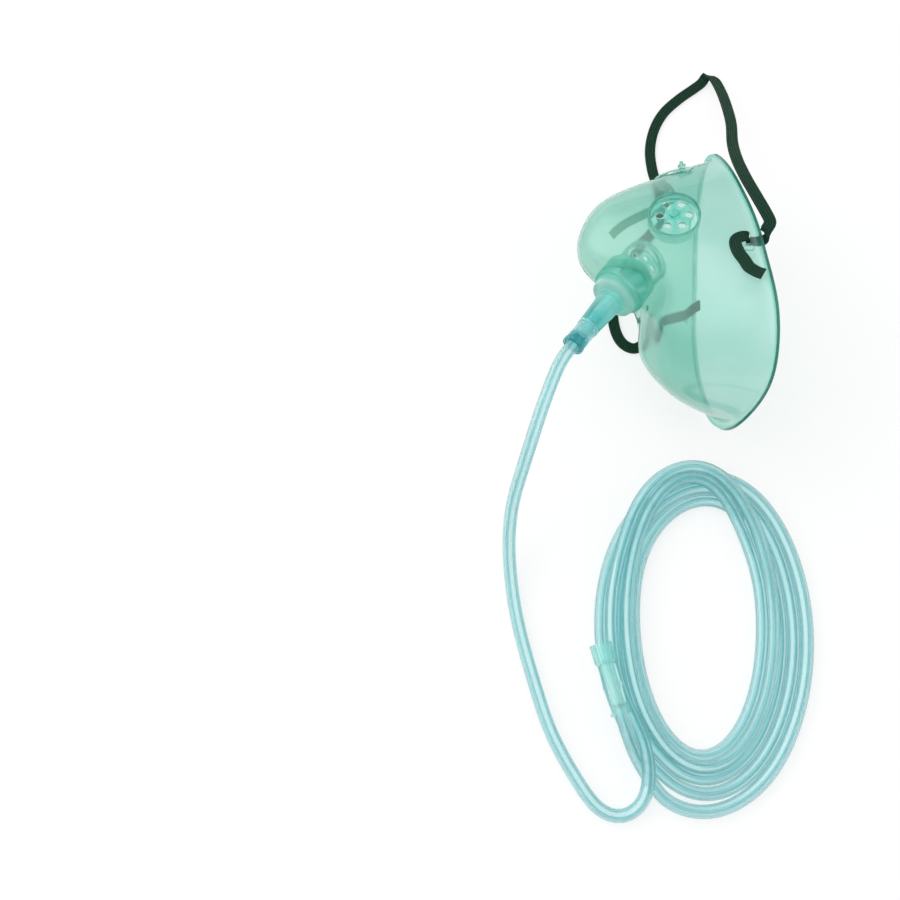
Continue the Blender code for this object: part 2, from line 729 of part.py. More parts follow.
def make_swivel():
    """A turned hollow connector: snap flange inside the collar, neck, ring, tapered body and nipple."""
    face = COLLAR_LENGTH + RUNNING_GAP
    inner_face = COLLAR_LENGTH - COLLAR_END_THICKNESS - RUNNING_GAP
    ring_end = face + SWIVEL_RING_LENGTH
    body_end = ring_end + SWIVEL_BODY_LENGTH
    tip = body_end + NIPPLE_LENGTH
    profile = [
        (SWIVEL_BORE_RADIUS, tip),
        (NIPPLE_RADIUS - 0.4 * MM, tip),
        (NIPPLE_RADIUS, body_end),
        (SWIVEL_END_RADIUS, body_end),
        (SWIVEL_STEP_RADIUS, ring_end),
        (SWIVEL_RING_RADIUS, ring_end),
        (SWIVEL_RING_RADIUS, face),
        (NECK_RADIUS, face),
        (NECK_RADIUS, inner_face),
        (SNAP_RADIUS, inner_face),
        (NECK_RADIUS, inner_face - SNAP_LENGTH),
        (SWIVEL_BORE_RADIUS, inner_face - SNAP_LENGTH),
    ]
    turned("swivel_connector", profile, Matrix(), PARTS, SWIVEL, CONNECTOR_PLASTIC, steps=24)
    return body_end


SLEEVE_START = make_swivel() + RUNNING_GAP
SLEEVE_END = SLEEVE_START + SLEEVE_LENGTH


def make_sleeve():
    """The fluted sleeve that joins the tube to the nipple, with a ring at each end and a socket for the tube."""
    over_nipple = NIPPLE_RADIUS + RUNNING_GAP
    socket = TUBE_DIAMETER / 2 + TUBE_BORE_GAP
    shoulder = SLEEVE_END - SOCKET_DEPTH
    throat = NIPPLE_RADIUS - 0.8 * MM
    profile = [
        (over_nipple, SLEEVE_START),
        (over_nipple, SLEEVE_START + NIPPLE_LENGTH + RUNNING_GAP),
        (throat, SLEEVE_START + NIPPLE_LENGTH + RUNNING_GAP),
        (throat, shoulder),
        (socket, shoulder),
        (socket, SLEEVE_END),
        (SLEEVE_RING_RADIUS, SLEEVE_END),
        (SLEEVE_RING_RADIUS, SLEEVE_END - SLEEVE_RING_LENGTH),
        (SLEEVE_RADIUS, SLEEVE_END - SLEEVE_RING_LENGTH),
        (SLEEVE_RADIUS, SLEEVE_START + SLEEVE_RING_LENGTH),
        (SLEEVE_RING_RADIUS, SLEEVE_START + SLEEVE_RING_LENGTH),
        (SLEEVE_RING_RADIUS, SLEEVE_START),
    ]
    sleeve = turned("tube_connector", profile[::-1], Matrix(), PARTS, SWIVEL, CONNECTOR_PLASTIC, steps=20)
    flutes = []
    for i in range(SLEEVE_FLUTES):
        angle = math.tau * i / SLEEVE_FLUTES
        out = SLEEVE_RADIUS + FLUTE_RADIUS * 0.35
        at = Matrix.Translation((out * math.cos(angle), out * math.sin(angle), 0))
        flutes.append(
            cylinder(
                f"flute_{i}",
                FLUTE_RADIUS,
                SLEEVE_START + SLEEVE_RING_LENGTH,
                SLEEVE_END - SLEEVE_RING_LENGTH,
                at,
                6,
                SWIVEL,
            )
        )
    combine(sleeve, "DIFFERENCE", flutes, "flutes")


make_sleeve()


def tube(name, points):
    """A round tube along evenly spaced points, as a curve with closed ends."""
    curve = bpy.data.curves.new(name, "CURVE")
    curve.dimensions = "3D"
    curve.bevel_depth = TUBE_DIAMETER / 2
    curve.bevel_resolution = 2
    curve.use_fill_caps = True
    spline = curve.splines.new("POLY")
    spline.points.add(len(points) - 1)
    for spot, place in zip(spline.points, points):
        spot.co = (*place, 1)
    made = bpy.data.objects.new(name, curve)
    PARTS.objects.link(made)
    made.parent = LAYOUT
    curve.materials.append(TUBE_VINYL)
    NODES[name] = made
    return made


def make_lead():
    """The tube from the bottom of the sleeve's socket, straight out, then down to the surface and to the coil."""
    sleeve = MASK.matrix_local @ PORT
    start = sleeve @ Vector((0, 0, SLEEVE_END - SOCKET_DEPTH + RUNNING_GAP))
    out = sleeve @ Vector((0, 0, SLEEVE_END - SOCKET_DEPTH + RUNNING_GAP + TUBE_STEP))
    route = [np.array(start), np.array(out)] + [np.array(p) * MM for p in LEAD_ROUTE]
    return tube("oxygen_tube", flowing(route, TUBE_STEP))


def make_coil():
    """The coiled tube as one ring with rounded edges, oval outside and inside."""
    turn = Matrix.Rotation(COIL_TILT, 3, "Z")
    section = ((0, 0.3), (0.14, 0), (0.86, 0), (1, 0.3), (1, 0.7), (0.86, 1), (0.14, 1), (0, 0.7))
    points = []
    for i in range(COIL_SECTIONS):
        angle = math.tau * i / COIL_SECTIONS
        round_ = Vector((math.cos(angle), math.sin(angle), 0))
        inner = turn @ Vector((COIL_HOLE[0] * round_.x, COIL_HOLE[1] * round_.y, 0))
        inner += Vector((*COIL_HOLE_CENTRE, 0))
        outer = turn @ Vector((COIL_OUTER[0] * round_.x, COIL_OUTER[1] * round_.y, 0))
        outer += Vector((*COIL_CENTRE, 0))
        for share, height in section:
            points.append(inner.lerp(outer, share) * MM + Vector((0, 0, height * COIL_HEIGHT)))
    corners = len(section)
    faces = []
    for i in range(COIL_SECTIONS):
        ahead = (i + 1) % COIL_SECTIONS
        for j in range(corners):
            k = (j + 1) % corners
            faces.append((i * corners + j, ahead * corners + j, ahead * corners + k, i * corners + k))
    return mesh_object("tube_coil", mesh_from("tube_coil", points, faces), PARTS, LAYOUT, TUBE_VINYL)


def make_supply_end():
    """The connector at the far end: a sleeve with a socket for the tube, a ring, and a flared mouth."""
    matrix = along(SUPPLY_DIRECTION, Vector(SUPPLY_PLACE) * MM)
    socket = TUBE_DIAMETER / 2 + TUBE_BORE_GAP
    mouth = SUPPLY_LENGTH - SUPPLY_MOUTH_LENGTH
    profile = [
        (socket, 0),
        (socket, SOCKET_DEPTH),
        (SWIVEL_BORE_RADIUS, SOCKET_DEPTH),
        (SWIVEL_BORE_RADIUS, mouth),
        (SUPPLY_MOUTH_BORE - 0.4 * MM, mouth + 2 * MM),
        (SUPPLY_MOUTH_BORE, SUPPLY_LENGTH),
        (SUPPLY_MOUTH_RADIUS, SUPPLY_LENGTH),
        (SUPPLY_MOUTH_RADIUS, mouth + 1.6 * MM),
        (SUPPLY_BODY_RADIUS, mouth),
        (SUPPLY_BODY_RADIUS, SUPPLY_SLEEVE_LENGTH + 1.6 * MM),
        (SUPPLY_RING_RADIUS, SUPPLY_SLEEVE_LENGTH + 1.6 * MM),
        (SUPPLY_RING_RADIUS, SUPPLY_SLEEVE_LENGTH),
        (SUPPLY_SLEEVE_RADIUS, SUPPLY_SLEEVE_LENGTH),
        (SUPPLY_SLEEVE_RADIUS, 1.4 * MM),
        (SUPPLY_RING_RADIUS, 1.4 * MM),
        (SUPPLY_RING_RADIUS, 0),
    ]
    made = turned("supply_connector", profile, matrix, PARTS, LAYOUT, CONNECTOR_PLASTIC, steps=20)
    seat = matrix @ Vector((0, 0, SOCKET_DEPTH - RUNNING_GAP))
    before = matrix @ Vector((0, 0, SOCKET_DEPTH - RUNNING_GAP - TUBE_STEP))
    route = [np.array(p) * MM for p in TAIL_ROUTE] + [np.array(before), np.array(seat)]
    tube("tube_tail", flowing(route, TUBE_STEP))
    return made


make_lead()
make_coil()
make_supply_end()
LAYOUT.location = Vector((*LAYOUT_SHIFT, 0)) * MM
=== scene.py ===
import math

import bmesh
import bpy
import numpy as np
from mathutils import Matrix, Vector
from mathutils.bvhtree import BVHTree
from mathutils.kdtree import KDTree


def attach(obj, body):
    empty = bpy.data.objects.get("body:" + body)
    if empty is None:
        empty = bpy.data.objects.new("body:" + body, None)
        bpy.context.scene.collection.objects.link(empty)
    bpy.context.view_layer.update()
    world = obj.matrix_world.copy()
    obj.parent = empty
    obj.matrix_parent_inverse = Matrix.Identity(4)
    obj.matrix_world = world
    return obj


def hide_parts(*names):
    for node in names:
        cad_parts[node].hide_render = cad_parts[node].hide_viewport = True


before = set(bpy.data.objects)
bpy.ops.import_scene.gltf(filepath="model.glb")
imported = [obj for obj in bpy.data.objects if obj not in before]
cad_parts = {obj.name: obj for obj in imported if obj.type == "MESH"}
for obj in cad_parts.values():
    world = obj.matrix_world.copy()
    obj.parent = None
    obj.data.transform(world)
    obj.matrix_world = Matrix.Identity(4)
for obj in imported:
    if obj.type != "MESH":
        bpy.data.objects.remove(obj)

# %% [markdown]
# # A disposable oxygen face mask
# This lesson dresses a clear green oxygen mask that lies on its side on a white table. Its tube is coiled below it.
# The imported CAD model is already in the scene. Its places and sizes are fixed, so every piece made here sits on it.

MM = 0.001
SCENE = bpy.context.scene
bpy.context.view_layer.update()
print("nodes:", sorted(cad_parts))

# %% [markdown]
# ## The camera
# The photograph was taken from above, with the table almost square to the lens. A camera 0.57 m above the
# table, tipped by 18 degrees, gives the same slight narrowing. The tilt, the place and the lens were worked out from
# the outline of the mask and of the coil.

# %% Camera
CAMERA_PLACE = (-0.104, -0.298, 0.5706)
CAMERA_TILT = math.radians(18)
lens = bpy.data.cameras.new("view_camera")
lens.lens = 46.32
lens.sensor_width = 36
camera = bpy.data.objects.new("view_camera", lens)
camera.location = CAMERA_PLACE
camera.rotation_euler = (CAMERA_TILT, 0, 0)
SCENE.collection.objects.link(camera)
SCENE.camera = camera
print("camera at", CAMERA_PLACE, "lens", lens.lens)

# %% [markdown]
# ## Helpers
# Almost every piece of this object is either swept along a line or turned about an axis. The first helpers put evenly
# spaced points on a smooth curve through given points, and give two directions square to it at each point, with as
# little twist as they can. A ring of points at each place, joined by quads, is then a sweep.

# %% Smooth lines and swept tubes
def smooth_line(points, step):
    """Evenly spaced rows on a smooth curve through the given rows."""
    rows = np.array(points, float)
    ends = np.vstack((2 * rows[0] - rows[1], rows, 2 * rows[-1] - rows[-2]))
    dense = []
    for p, a, b, q in zip(ends, ends[1:], ends[2:], ends[3:]):
        for t in np.linspace(0, 1, 12, endpoint=False):
            dense.append(
                a
                + (b - p) * (t / 2)
                + (p * 2 - a * 5 + b * 4 - q) * (t**2 / 2)
                + (a * 3 - p - b * 3 + q) * (t**3 / 2)
            )
    dense.append(rows[-1])
    return spaced(np.array(dense), step)


def reached_along(rows):
    """How far along the line each row is. Only the first three columns are places."""
    return np.concatenate(((0,), np.cumsum(np.linalg.norm(np.diff(rows[:, :3], axis=0), axis=1))))


def spaced(rows, step):
    """The same line with its rows a step apart."""
    reached = reached_along(rows)
    wanted = np.linspace(0, reached[-1], max(2, round(reached[-1] / step) + 1))
    return np.stack([np.interp(wanted, reached, rows[:, k]) for k in range(rows.shape[1])], axis=1)


def line_length(points):
    return float(np.linalg.norm(np.diff(points, axis=0), axis=1).sum())


def directions(points):
    ahead = np.gradient(points, axis=0)
    return ahead / np.linalg.norm(ahead, axis=1)[:, None]


def carried_sides(points):
    """Two directions square to the line at each point, carried along it with no twist."""
    along = directions(points)
    side = np.cross(along[0], (0.3, 0.2, 1.0))
    sides = []
    for ahead in along:
        side = side - ahead * side.dot(ahead)
        side = side / np.linalg.norm(side)
        sides.append(side)
    sides = np.array(sides)
    return sides, np.cross(along, sides)


def new_piece(name, points, faces, body, slot, material):
    """A smooth mesh object of our own, which rides on a body and takes a finish."""
    mesh = bpy.data.meshes.new(name)
    mesh.from_pydata([tuple(p) for p in points], [], faces)
    mesh.validate()
    piece = bpy.data.objects.new(name, mesh)
    SCENE.collection.objects.link(piece)
    mesh.polygons.foreach_set("use_smooth", [True] * len(mesh.polygons))
    mesh.materials.append(material)
    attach(piece, body)
    return piece


def ring_faces(rings, corners, first=0, closed=False, flip=False):
    """Quads between rings of the same number of corners."""
    faces = []
    for i in range(rings if closed else rings - 1):
        ahead = (i + 1) % rings
        for j in range(corners):
            k = (j + 1) % corners
            quad = (i * corners + j, i * corners + k, ahead * corners + k, ahead * corners + j)
            faces.append(tuple(first + v for v in (reversed(quad) if flip else quad)))
    return faces


quarter = smooth_line([(1, 0, 0), (0.7, 0.7, 0), (0, 1, 0)], 0.1)
print("a quarter circle by smooth_line:", round(line_length(quarter), 3))

# %% [markdown]
# ## The route of the tube
# The oxygen tube is one length of soft clear hose. It leaves the sleeve of the connector in line with it, bends down
# to the table under its own weight, runs past the left of the coil, turns back at its lower left, and rises onto the
# bundle. After almost five turns its tail passes under the lead and climbs to the supply connector. The first points
# are the ones that the CAD model uses.

# %% Points of the lead and the tail
TUBE = 6.5 * MM
LEAD = np.array((
    (-42.9, -77.0, 61.4), (-51.5, -88.2, 63.5), (-57.5, -103.1, 64), (-62, -114.6, 61), (-66, -126.6, 53.5),
    (-70, -137.6, 42), (-74, -150.6, 27), (-75, -166.6, 13), (-73.5, -184.6, 5), (-71, -201.6, 3.3),
    (-67, -218.6, 3.3), (-62, -236.6, 3.3), (-57, -252.6, 3.3), (-51, -265.6, 3.3), (-44, -277.6, 3.3),
    (-37, -288.3, 3.3), (-31.4, -293, 3.3), (-24.3, -294.4, 3.3), (-17.4, -291.8, 4), (-12.8, -286.2, 5.7),
    (-11.4, -279.5, 7.8), (-12.3, -268, 9.6), (-14, -257, 9.5),
)) * MM
TAIL = np.array((
    (-8.3, -278.5, 3.3), (-12.8, -272.7, 4.2), (-17, -265.8, 8.2), (-20.3, -258.8, 13.7), (-22.6, -252.6, 17.6),
    (-24.1, -248.2, 18.6), (-25.2, -244, 18.7),
)) * MM
print("lead", round(line_length(LEAD), 3), "m, tail", round(line_length(TAIL), 3), "m")

# %% [markdown]
# The coil was wound by hand, so it is an oval whose turns cross a little. Each turn starts as an oval between the
# inner and the outer outline of the bundle, with its own small shift. The first turn and a half lie on top of the
# others, which lie on the table apart from where they cross.

# %% The turns of the coil
COIL_CENTRE = np.array((20, -207.6)) * MM
COIL_OUTER = np.array((49, 86)) * MM
COIL_HOLE_CENTRE = np.array((17, -203.6)) * MM
COIL_HOLE = np.array((31, 63)) * MM
COIL_TILT = math.radians(-4)
# One row a turn and eight places a row, from the lower left round by the top: the share of the way from the hole to
# the outline, then the height in tube diameters. A last place follows the rows, where the tail leaves the coil.
KNOT_START = math.radians(238)
TURN_START = math.radians(206)
LAST_ANGLE = math.radians(241 - 5 * 360)
LAST_SHARE, LAST_HEIGHT = 1.05, 0.5
POINTS_A_TURN = 48
TURN_SHARES = (
    (0.60, 0.58, 0.78, 0.90, 0.42, 0.37, 0.34, 0.27),
    (0.22, 0.28, 0.50, 0.86, 0.14, 0.20, 0.20, 0.15),
    (0.10, 0.15, 0.26, 0.12, 0.42, 0.52, 0.45, 0.36),
    (0.36, 0.52, 0.58, 0.30, 0.66, 0.72, 0.69, 0.66),
    (0.62, 0.90, 0.92, 0.42, 0.92, 0.93, 0.93, 0.90),
)
TURN_HEIGHTS = (
    (1.5, 1.4, 1.4, 1.5, 1.6, 1.4, 1.4, 1.4),
    (1.4, 1.4, 1.4, 0.8, 1.0, 0.5, 0.5, 0.5),
    (0.5, 0.5, 0.5, 0.5, 0.5, 0.5, 0.5, 0.5),
    (0.5, 0.5, 0.5, 1.2, 0.7, 1.2, 0.5, 0.5),
    (0.5, 0.5, 0.5, 0.5, 0.5, 0.5, 0.5, 0.5),
)


def on_oval(angle, share):
    """A place in the bundle, seen from above."""
    round_ = np.array((math.cos(angle), math.sin(angle)))
    turn = np.array(((math.cos(COIL_TILT), -math.sin(COIL_TILT)), (math.sin(COIL_TILT), math.cos(COIL_TILT))))
    inner = COIL_HOLE_CENTRE + turn @ (COIL_HOLE * round_)
    outer = COIL_CENTRE + turn @ (COIL_OUTER * round_)
    return inner + (outer - inner) * share


def eased(values):
    """The same values with their corners smoothed, over a twelfth of a turn each way."""
    reach = POINTS_A_TURN // 12
    weights = np.hanning(2 * reach + 3)[1:-1]
    return np.convolve(np.pad(values, reach, mode="edge"), weights / weights.sum(), mode="valid")


def coil_points():
    """The turns, clockwise from the lower left, as a line before it settles."""
    angles = np.arange(TURN_START, LAST_ANGLE, -math.tau / POINTS_A_TURN)
    eighths = (KNOT_START - angles) / (math.tau / 8)
    shares = np.append(TURN_SHARES, LAST_SHARE)
    heights = np.append(TURN_HEIGHTS, LAST_HEIGHT)
    shares, heights = (eased(np.interp(eighths, np.arange(len(row)), row)) for row in (shares, heights))
    return np.array([(*on_oval(a, s), h * TUBE) for a, s, h in zip(angles, shares, heights)])


coil = coil_points()
print("coil", round(line_length(coil), 3), "m in", round((TURN_START - LAST_ANGLE) / math.tau, 2), "turns")

# %% [markdown]
# A drawn line runs through itself where turns cross. A real hose can't, so the line settles: points closer than one
# diameter push each other apart, gravity pulls every point down, and the table holds them up. The pushes are
# smoothed along the line, because a hose is springy. The ends stay where the connectors hold them.

# %% Letting the tube settle
SETTLE_STEP = 4 * MM
SETTLE_ROUNDS = 260
PUSH = 0.6  # share of an overlap that one round takes out
DRAW_BACK = 0.995  # share of a sideways shift that is left after one round
FALL = 0.05 * MM  # in one round


def settled(points, held):
    """The line after its turns have pushed each other apart and come to rest.

    Points within three diameters along the line don't push each other. A point that is held by 1 stays where it is.
    """
    start = points.copy()
    place = points.copy()
    count = len(points)
    apart = np.abs(np.subtract.outer(np.arange(count), np.arange(count))) > 3 * TUBE / SETTLE_STEP
    free = (1 - held)[:, None]
    for _ in range(SETTLE_ROUNDS):
        gap = place[:, None, :] - place[None, :, :]
        far = np.linalg.norm(gap, axis=2) + 1e-9
        near = apart & (far < TUBE)
        push = np.where(near, (TUBE - far) / far, 0)[:, :, None] * gap
        touching = np.maximum(near.sum(axis=1), 1)[:, None]
        moved = place + PUSH * push.sum(axis=1) / touching - start
        moved[:, :2] *= DRAW_BACK
        moved[:, 2] -= FALL
        moved = moved * free
        # A springy hose shares each shift with its neighbours.
        for _ in range(2):
            moved[1:-1] = moved[1:-1] * 0.6 + (moved[:-2] + moved[2:]) * 0.2
        moved *= free
        place = start + moved
        place[:, 2] = np.maximum(place[:, 2], TUBE / 2)
    # The last small kinks are smoothed out.
    for _ in range(4):
        place[1:-1] = place[1:-1] * 0.5 + (place[:-2] + place[2:]) * 0.25
    return place


def hose_line():
    """The whole line at rest: held still for 200 mm at its first end and 30 mm at its last, then more and more free."""
    drawn = spaced(smooth_line(np.vstack((LEAD, coil, TAIL)), 2 * MM), SETTLE_STEP)
    from_first = np.arange(len(drawn)) * SETTLE_STEP
    from_last = line_length(drawn) - from_first
    held = np.clip(1 - (from_first - 0.20) / 0.05, 0, 1) + np.clip(1 - (from_last - 0.03) / 0.03, 0, 1)
    return settled(drawn, np.clip(held, 0, 1))


hose = smooth_line(hose_line(), 3 * MM)
HOSE_LENGTH = line_length(hose)
print("the whole tube is", round(HOSE_LENGTH, 3), "m, lowest", round(hose[:, 2].min() / MM, 2), "mm")

# %% [markdown]
# ## Helpers for finishes
# Every finish here is made of nodes. These helpers make a node with its sockets already set or linked, and the few
# small groups of nodes that come back in each finish, so that a finish below reads as a recipe.

# %% Node helpers
def new_material(name):
    """An empty node material, and its tree."""
    material = bpy.data.materials.new(name)
    material.use_nodes = True
    material.node_tree.nodes.clear()
    return material, material.node_tree


def add_node(tree, kind, **values):
    """A node with some of its sockets set by name, each to a value or to another node's output."""
    node = tree.nodes.new(kind)
    for key, value in values.items():
        socket = node.inputs.get(key.replace("_", " "))
        if socket is None:
            setattr(node, key, value)
        elif isinstance(value, bpy.types.NodeSocket):
            tree.links.new(value, socket)
        else:
            socket.default_value = value
    return node


def maths(tree, operation, first, second=None, clamp=False):
    """One sum on two values, each of them a socket or a number."""
    node = add_node(tree, "ShaderNodeMath", operation=operation, use_clamp=clamp)
    for place, value in zip(node.inputs, (first, second)):
        if isinstance(value, bpy.types.NodeSocket):
            tree.links.new(value, place)
        elif value is not None:
            place.default_value = value
    return node.outputs["Value"]


def spread_over(tree, value, start, end, low=0, high=1, kind="LINEAR"):
    """The value's stretch from start to end, spread from low to high."""
    spread = add_node(
        tree, "ShaderNodeMapRange", interpolation_type=kind, Value=value, From_Min=start, From_Max=end, To_Min=low,
        To_Max=high,
    )
    return spread.outputs["Result"]


def noise_between(tree, scale, low, high):
    """A number that drifts between two values over the surface."""
    place = add_node(tree, "ShaderNodeTexCoord").outputs["Object"]
    noise = add_node(tree, "ShaderNodeTexNoise", Scale=scale, Detail=3, Vector=place)
    return spread_over(tree, noise.outputs["Fac"], 0.3, 0.7, low, high)


def wandering(tree, value, scale, wander):
    """The value with a little drift added, kept between 0 and 1."""
    return maths(tree, "ADD", value, noise_between(tree, scale, -wander, wander), clamp=True)


def colour_between(tree, amount, first, second):
    mix = add_node(tree, "ShaderNodeMix", data_type="RGBA", Factor=amount, A=(*first, 1), B=(*second, 1))
    return mix.outputs["Result"]


def bump_of(tree, height, strength, distance):
    return add_node(tree, "ShaderNodeBump", Strength=strength, Distance=distance, Height=height).outputs["Normal"]


def mixed(tree, share, first, second):
    """Two shaders in one. The share, a value or a socket, is the second's."""
    mix = add_node(tree, "ShaderNodeMixShader", Fac=share)
    tree.links.new(first, mix.inputs[1])
    tree.links.new(second, mix.inputs[2])
    return mix.outputs["Shader"]


print("node helpers: add_node, maths, spread_over, noise_between, wandering, colour_between, bump_of, mixed")

# %% [markdown]
# ## Clear plastics
# The mask, the connectors and the tube are all soft or hard clear plastic with a blue green tint. Such a plastic gets
# its colour from the depth that light crosses: a thin wall is pale, and a rim seen along its length is dark. Part of
# the colour is absorption in the solid. The rest is a tint of the surface, from pale to deep as the amount says, and
# deeper where the surface turns away from the eye. A little scattering keeps it from looking like window glass.
# Shadow rays pass straight through, so the shadow on the table is soft and tinted too.

# %% A maker for clear plastics
def clear_plastic(name, pale, deep, absorbs, density, milk, pale_milk, deep_milk, amount, wave=(14, 0.1)):
    """Clear plastic: a glassy surface, absorption inside, and a share of scattered light, the milk.

    The surface runs from a pale to a deep tint, and amount(tree) says where. The wave is its slow bumps, as their
    scale and strength.
    """
    material, tree = new_material(name)
    where = amount(tree)
    rim = add_node(tree, "ShaderNodeLayerWeight", Blend=0.24)
    edge = add_node(
        tree, "ShaderNodeMix", data_type="RGBA", Factor=rim.outputs["Facing"],
        A=colour_between(tree, where, pale, deep), B=(*(c * 0.45 for c in deep), 1),
    )
    glass = add_node(
        tree, "ShaderNodeBsdfPrincipled", IOR=1.46, Transmission_Weight=1, Base_Color=edge.outputs["Result"],
        Roughness=noise_between(tree, 90, 0.03, 0.1),
        Normal=bump_of(tree, noise_between(tree, wave[0], 0, 1), wave[1], 1 * MM),
    )
    cloud_tint = colour_between(tree, where, pale_milk, deep_milk)
    front = add_node(tree, "ShaderNodeBsdfDiffuse", Color=cloud_tint)
    behind = add_node(tree, "ShaderNodeBsdfTranslucent", Color=cloud_tint)
    cloud = mixed(tree, 0.5, front.outputs["BSDF"], behind.outputs["BSDF"])
    body = mixed(tree, milk, glass.outputs["BSDF"], cloud)
    passing = add_node(tree, "ShaderNodeBsdfTransparent", Color=(*(c**0.5 for c in deep), 1))
    ray = add_node(tree, "ShaderNodeLightPath")
    whole = mixed(tree, ray.outputs["Is Shadow Ray"], body, passing.outputs["BSDF"])
    depth = add_node(tree, "ShaderNodeVolumeAbsorption", Color=(*absorbs, 1), Density=density)
    add_node(tree, "ShaderNodeOutputMaterial", Surface=whole, Volume=depth.outputs["Volume"])
    return material


def drifting(scale):
    """An amount that wanders over the surface."""
    return lambda tree: noise_between(tree, scale, 0, 1)


def by_attribute(name, scale, wander):
    """An amount that the mesh stores, with a little wandering added."""

    def amount(tree):
        stored = add_node(tree, "ShaderNodeAttribute", attribute_name=name)
        return wandering(tree, stored.outputs["Fac"], scale, wander)

    return amount


MASK_VINYL = clear_plastic(
    "green_mask_vinyl", pale=(0.8, 0.95, 0.9), deep=(0.22, 0.7, 0.6), absorbs=(0.1, 0.66, 0.5), density=70, milk=0.1,
    pale_milk=(0.7, 1, 0.9), deep_milk=(0.16, 0.68, 0.58), amount=by_attribute("tint", 40, 0.08),
)
MOULDED_VINYL = clear_plastic(
    "thick_green_vinyl", pale=(0.93, 1, 0.98), deep=(0.62, 0.93, 0.88), absorbs=(0.1, 0.7, 0.62), density=80, milk=0.4,
    pale_milk=(0.92, 1, 0.98), deep_milk=(0.25, 0.74, 0.65), amount=by_attribute("tint", 60, 0.08), wave=(60, 0.04),
)
DISC_VINYL = clear_plastic(
    "clear_disc_vinyl", pale=(0.9, 0.99, 0.97), deep=(0.3, 0.85, 0.78), absorbs=(0.1, 0.66, 0.5), density=60, milk=0.14,
    pale_milk=(0.62, 0.95, 0.87), deep_milk=(0.12, 0.62, 0.54), amount=by_attribute("tint", 60, 0.05), wave=(60, 0.04),
)
PALE_PLASTIC = clear_plastic(
    "pale_connector_plastic", pale=(0.95, 1, 1), deep=(0.85, 1, 0.98), absorbs=(0.1, 0.75, 0.7), density=70, milk=0.14,
    pale_milk=(0.75, 0.97, 0.94), deep_milk=(0.4, 0.84, 0.8), amount=drifting(60), wave=(120, 0.03),
)
print("clear plastics:", MASK_VINYL.name, MOULDED_VINYL.name, DISC_VINYL.name, PALE_PLASTIC.name)

# %% [markdown]
# ## The tube's surface
# Oxygen tube has a star shaped bore, so that it still lets gas through when it is bent flat. The bore's ribs are what
# show as long white lines in a clear tube, and the finish paints them in too: painted highlights over the ribs and
# painted shade between them. The outside is a round sweep and the bore is a star sweep inside it, with the two joined
# at both ends, so the hose is one closed solid.

# %% Sweep the hose
BORE_OUTER = 2.1 * MM
BORE_INNER = 1.45 * MM
STAR_POINTS = 5
HOSE_SIDES = 20


def bore_radius(angle):
    """The radius of the star bore at this place round the hose."""
    return BORE_INNER + (BORE_OUTER - BORE_INNER) * (0.5 + 0.5 * math.cos(STAR_POINTS * angle))


def hose_mesh(points):
    """The hose and its bore as one closed surface."""
    sides, ups = carried_sides(points)
    angles = [math.tau * i / HOSE_SIDES for i in range(HOSE_SIDES)]
    verts = []
    for radius_at in (lambda angle: TUBE / 2, bore_radius):
        for point, side, up in zip(points, sides, ups):
            verts += [point + radius_at(a) * (math.cos(a) * side + math.sin(a) * up) for a in angles]
    rings = len(points)
    bore = rings * HOSE_SIDES
    faces = ring_faces(rings, HOSE_SIDES) + ring_faces(rings, HOSE_SIDES, bore, flip=True)
    for row, flip in ((0, False), (bore - HOSE_SIDES, True)):
        for j in range(row, row + HOSE_SIDES):
            k = row + (j + 1 - row) % HOSE_SIDES
            quad = (j, bore + j, bore + k, k)
            faces.append(tuple(reversed(quad)) if flip else quad)
    return verts, faces


def painted_rib_light_and_shade(tree):
    """Long lines on the hose, painted: pale lines are painted highlights over the bore's ribs, and deeper ones between
    them painted shade.
    """
    place = add_node(tree, "ShaderNodeUVMap", uv_map="hose")
    parts = add_node(tree, "ShaderNodeSeparateXYZ", Vector=place.outputs["UV"])
    # Five pale lines of painted highlight and five deeper lines of painted shade round the hose.
    turn = maths(tree, "MULTIPLY", parts.outputs["Y"], math.tau * STAR_POINTS)
    return spread_over(tree, maths(tree, "COSINE", turn), -0.2, 0.8)


def add_hose_map(piece, length):
    """A UV map: the distance along the hose in millimetres, and the share of the way round it."""
    rings = len(hose)
    uv = piece.data.uv_layers.new(name="hose")
    flat = []
    outer = rings * HOSE_SIDES
    for polygon in piece.data.polygons:
        spots = [piece.data.loops[i].vertex_index for i in polygon.loop_indices]
        rows = [v % outer // HOSE_SIDES for v in spots]
        sides = [v % HOSE_SIDES for v in spots]
        wraps = max(sides) - min(sides) > HOSE_SIDES / 2
        for row, side in zip(rows, sides):
            round_ = side + (HOSE_SIDES if wraps and side < HOSE_SIDES / 2 else 0)
            flat += [row / (rings - 1) * length / MM, round_ / HOSE_SIDES]
    uv.data.foreach_set("uv", flat)


# The tube's tint runs between pale and deep along the painted highlight and shade lines.
TUBE_VINYL = clear_plastic(
    "clear_tube_vinyl", pale=(0.97, 1, 1), deep=(0.6, 0.88, 0.9), absorbs=(0.1, 0.65, 0.65), density=60, milk=0.2,
    pale_milk=(0.9, 1, 1), deep_milk=(0.22, 0.6, 0.62), amount=painted_rib_light_and_shade, wave=(8, 0.02),
)
tube = new_piece("oxygen_hose", *hose_mesh(hose), "mask", "tube_vinyl", TUBE_VINYL)
add_hose_map(tube, HOSE_LENGTH)
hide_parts("oxygen_tube", "tube_coil", "tube_tail")
SLEEVE_END = (-0.04573, -0.08068, 0.06211)
print("hose faces:", len(tube.data.polygons))

# %% [markdown]
# ## The mask's wall
# The wall is drawn as spokes that run from the round port over the cheek to the rim. Only the left half is drawn, and
# a mirror makes the other. Subdivision smooths the cage into the soft moulded form, and its cage is first moved
# outwards so that the smooth surface passes through the drawn points. The numbers are those of the CAD model.

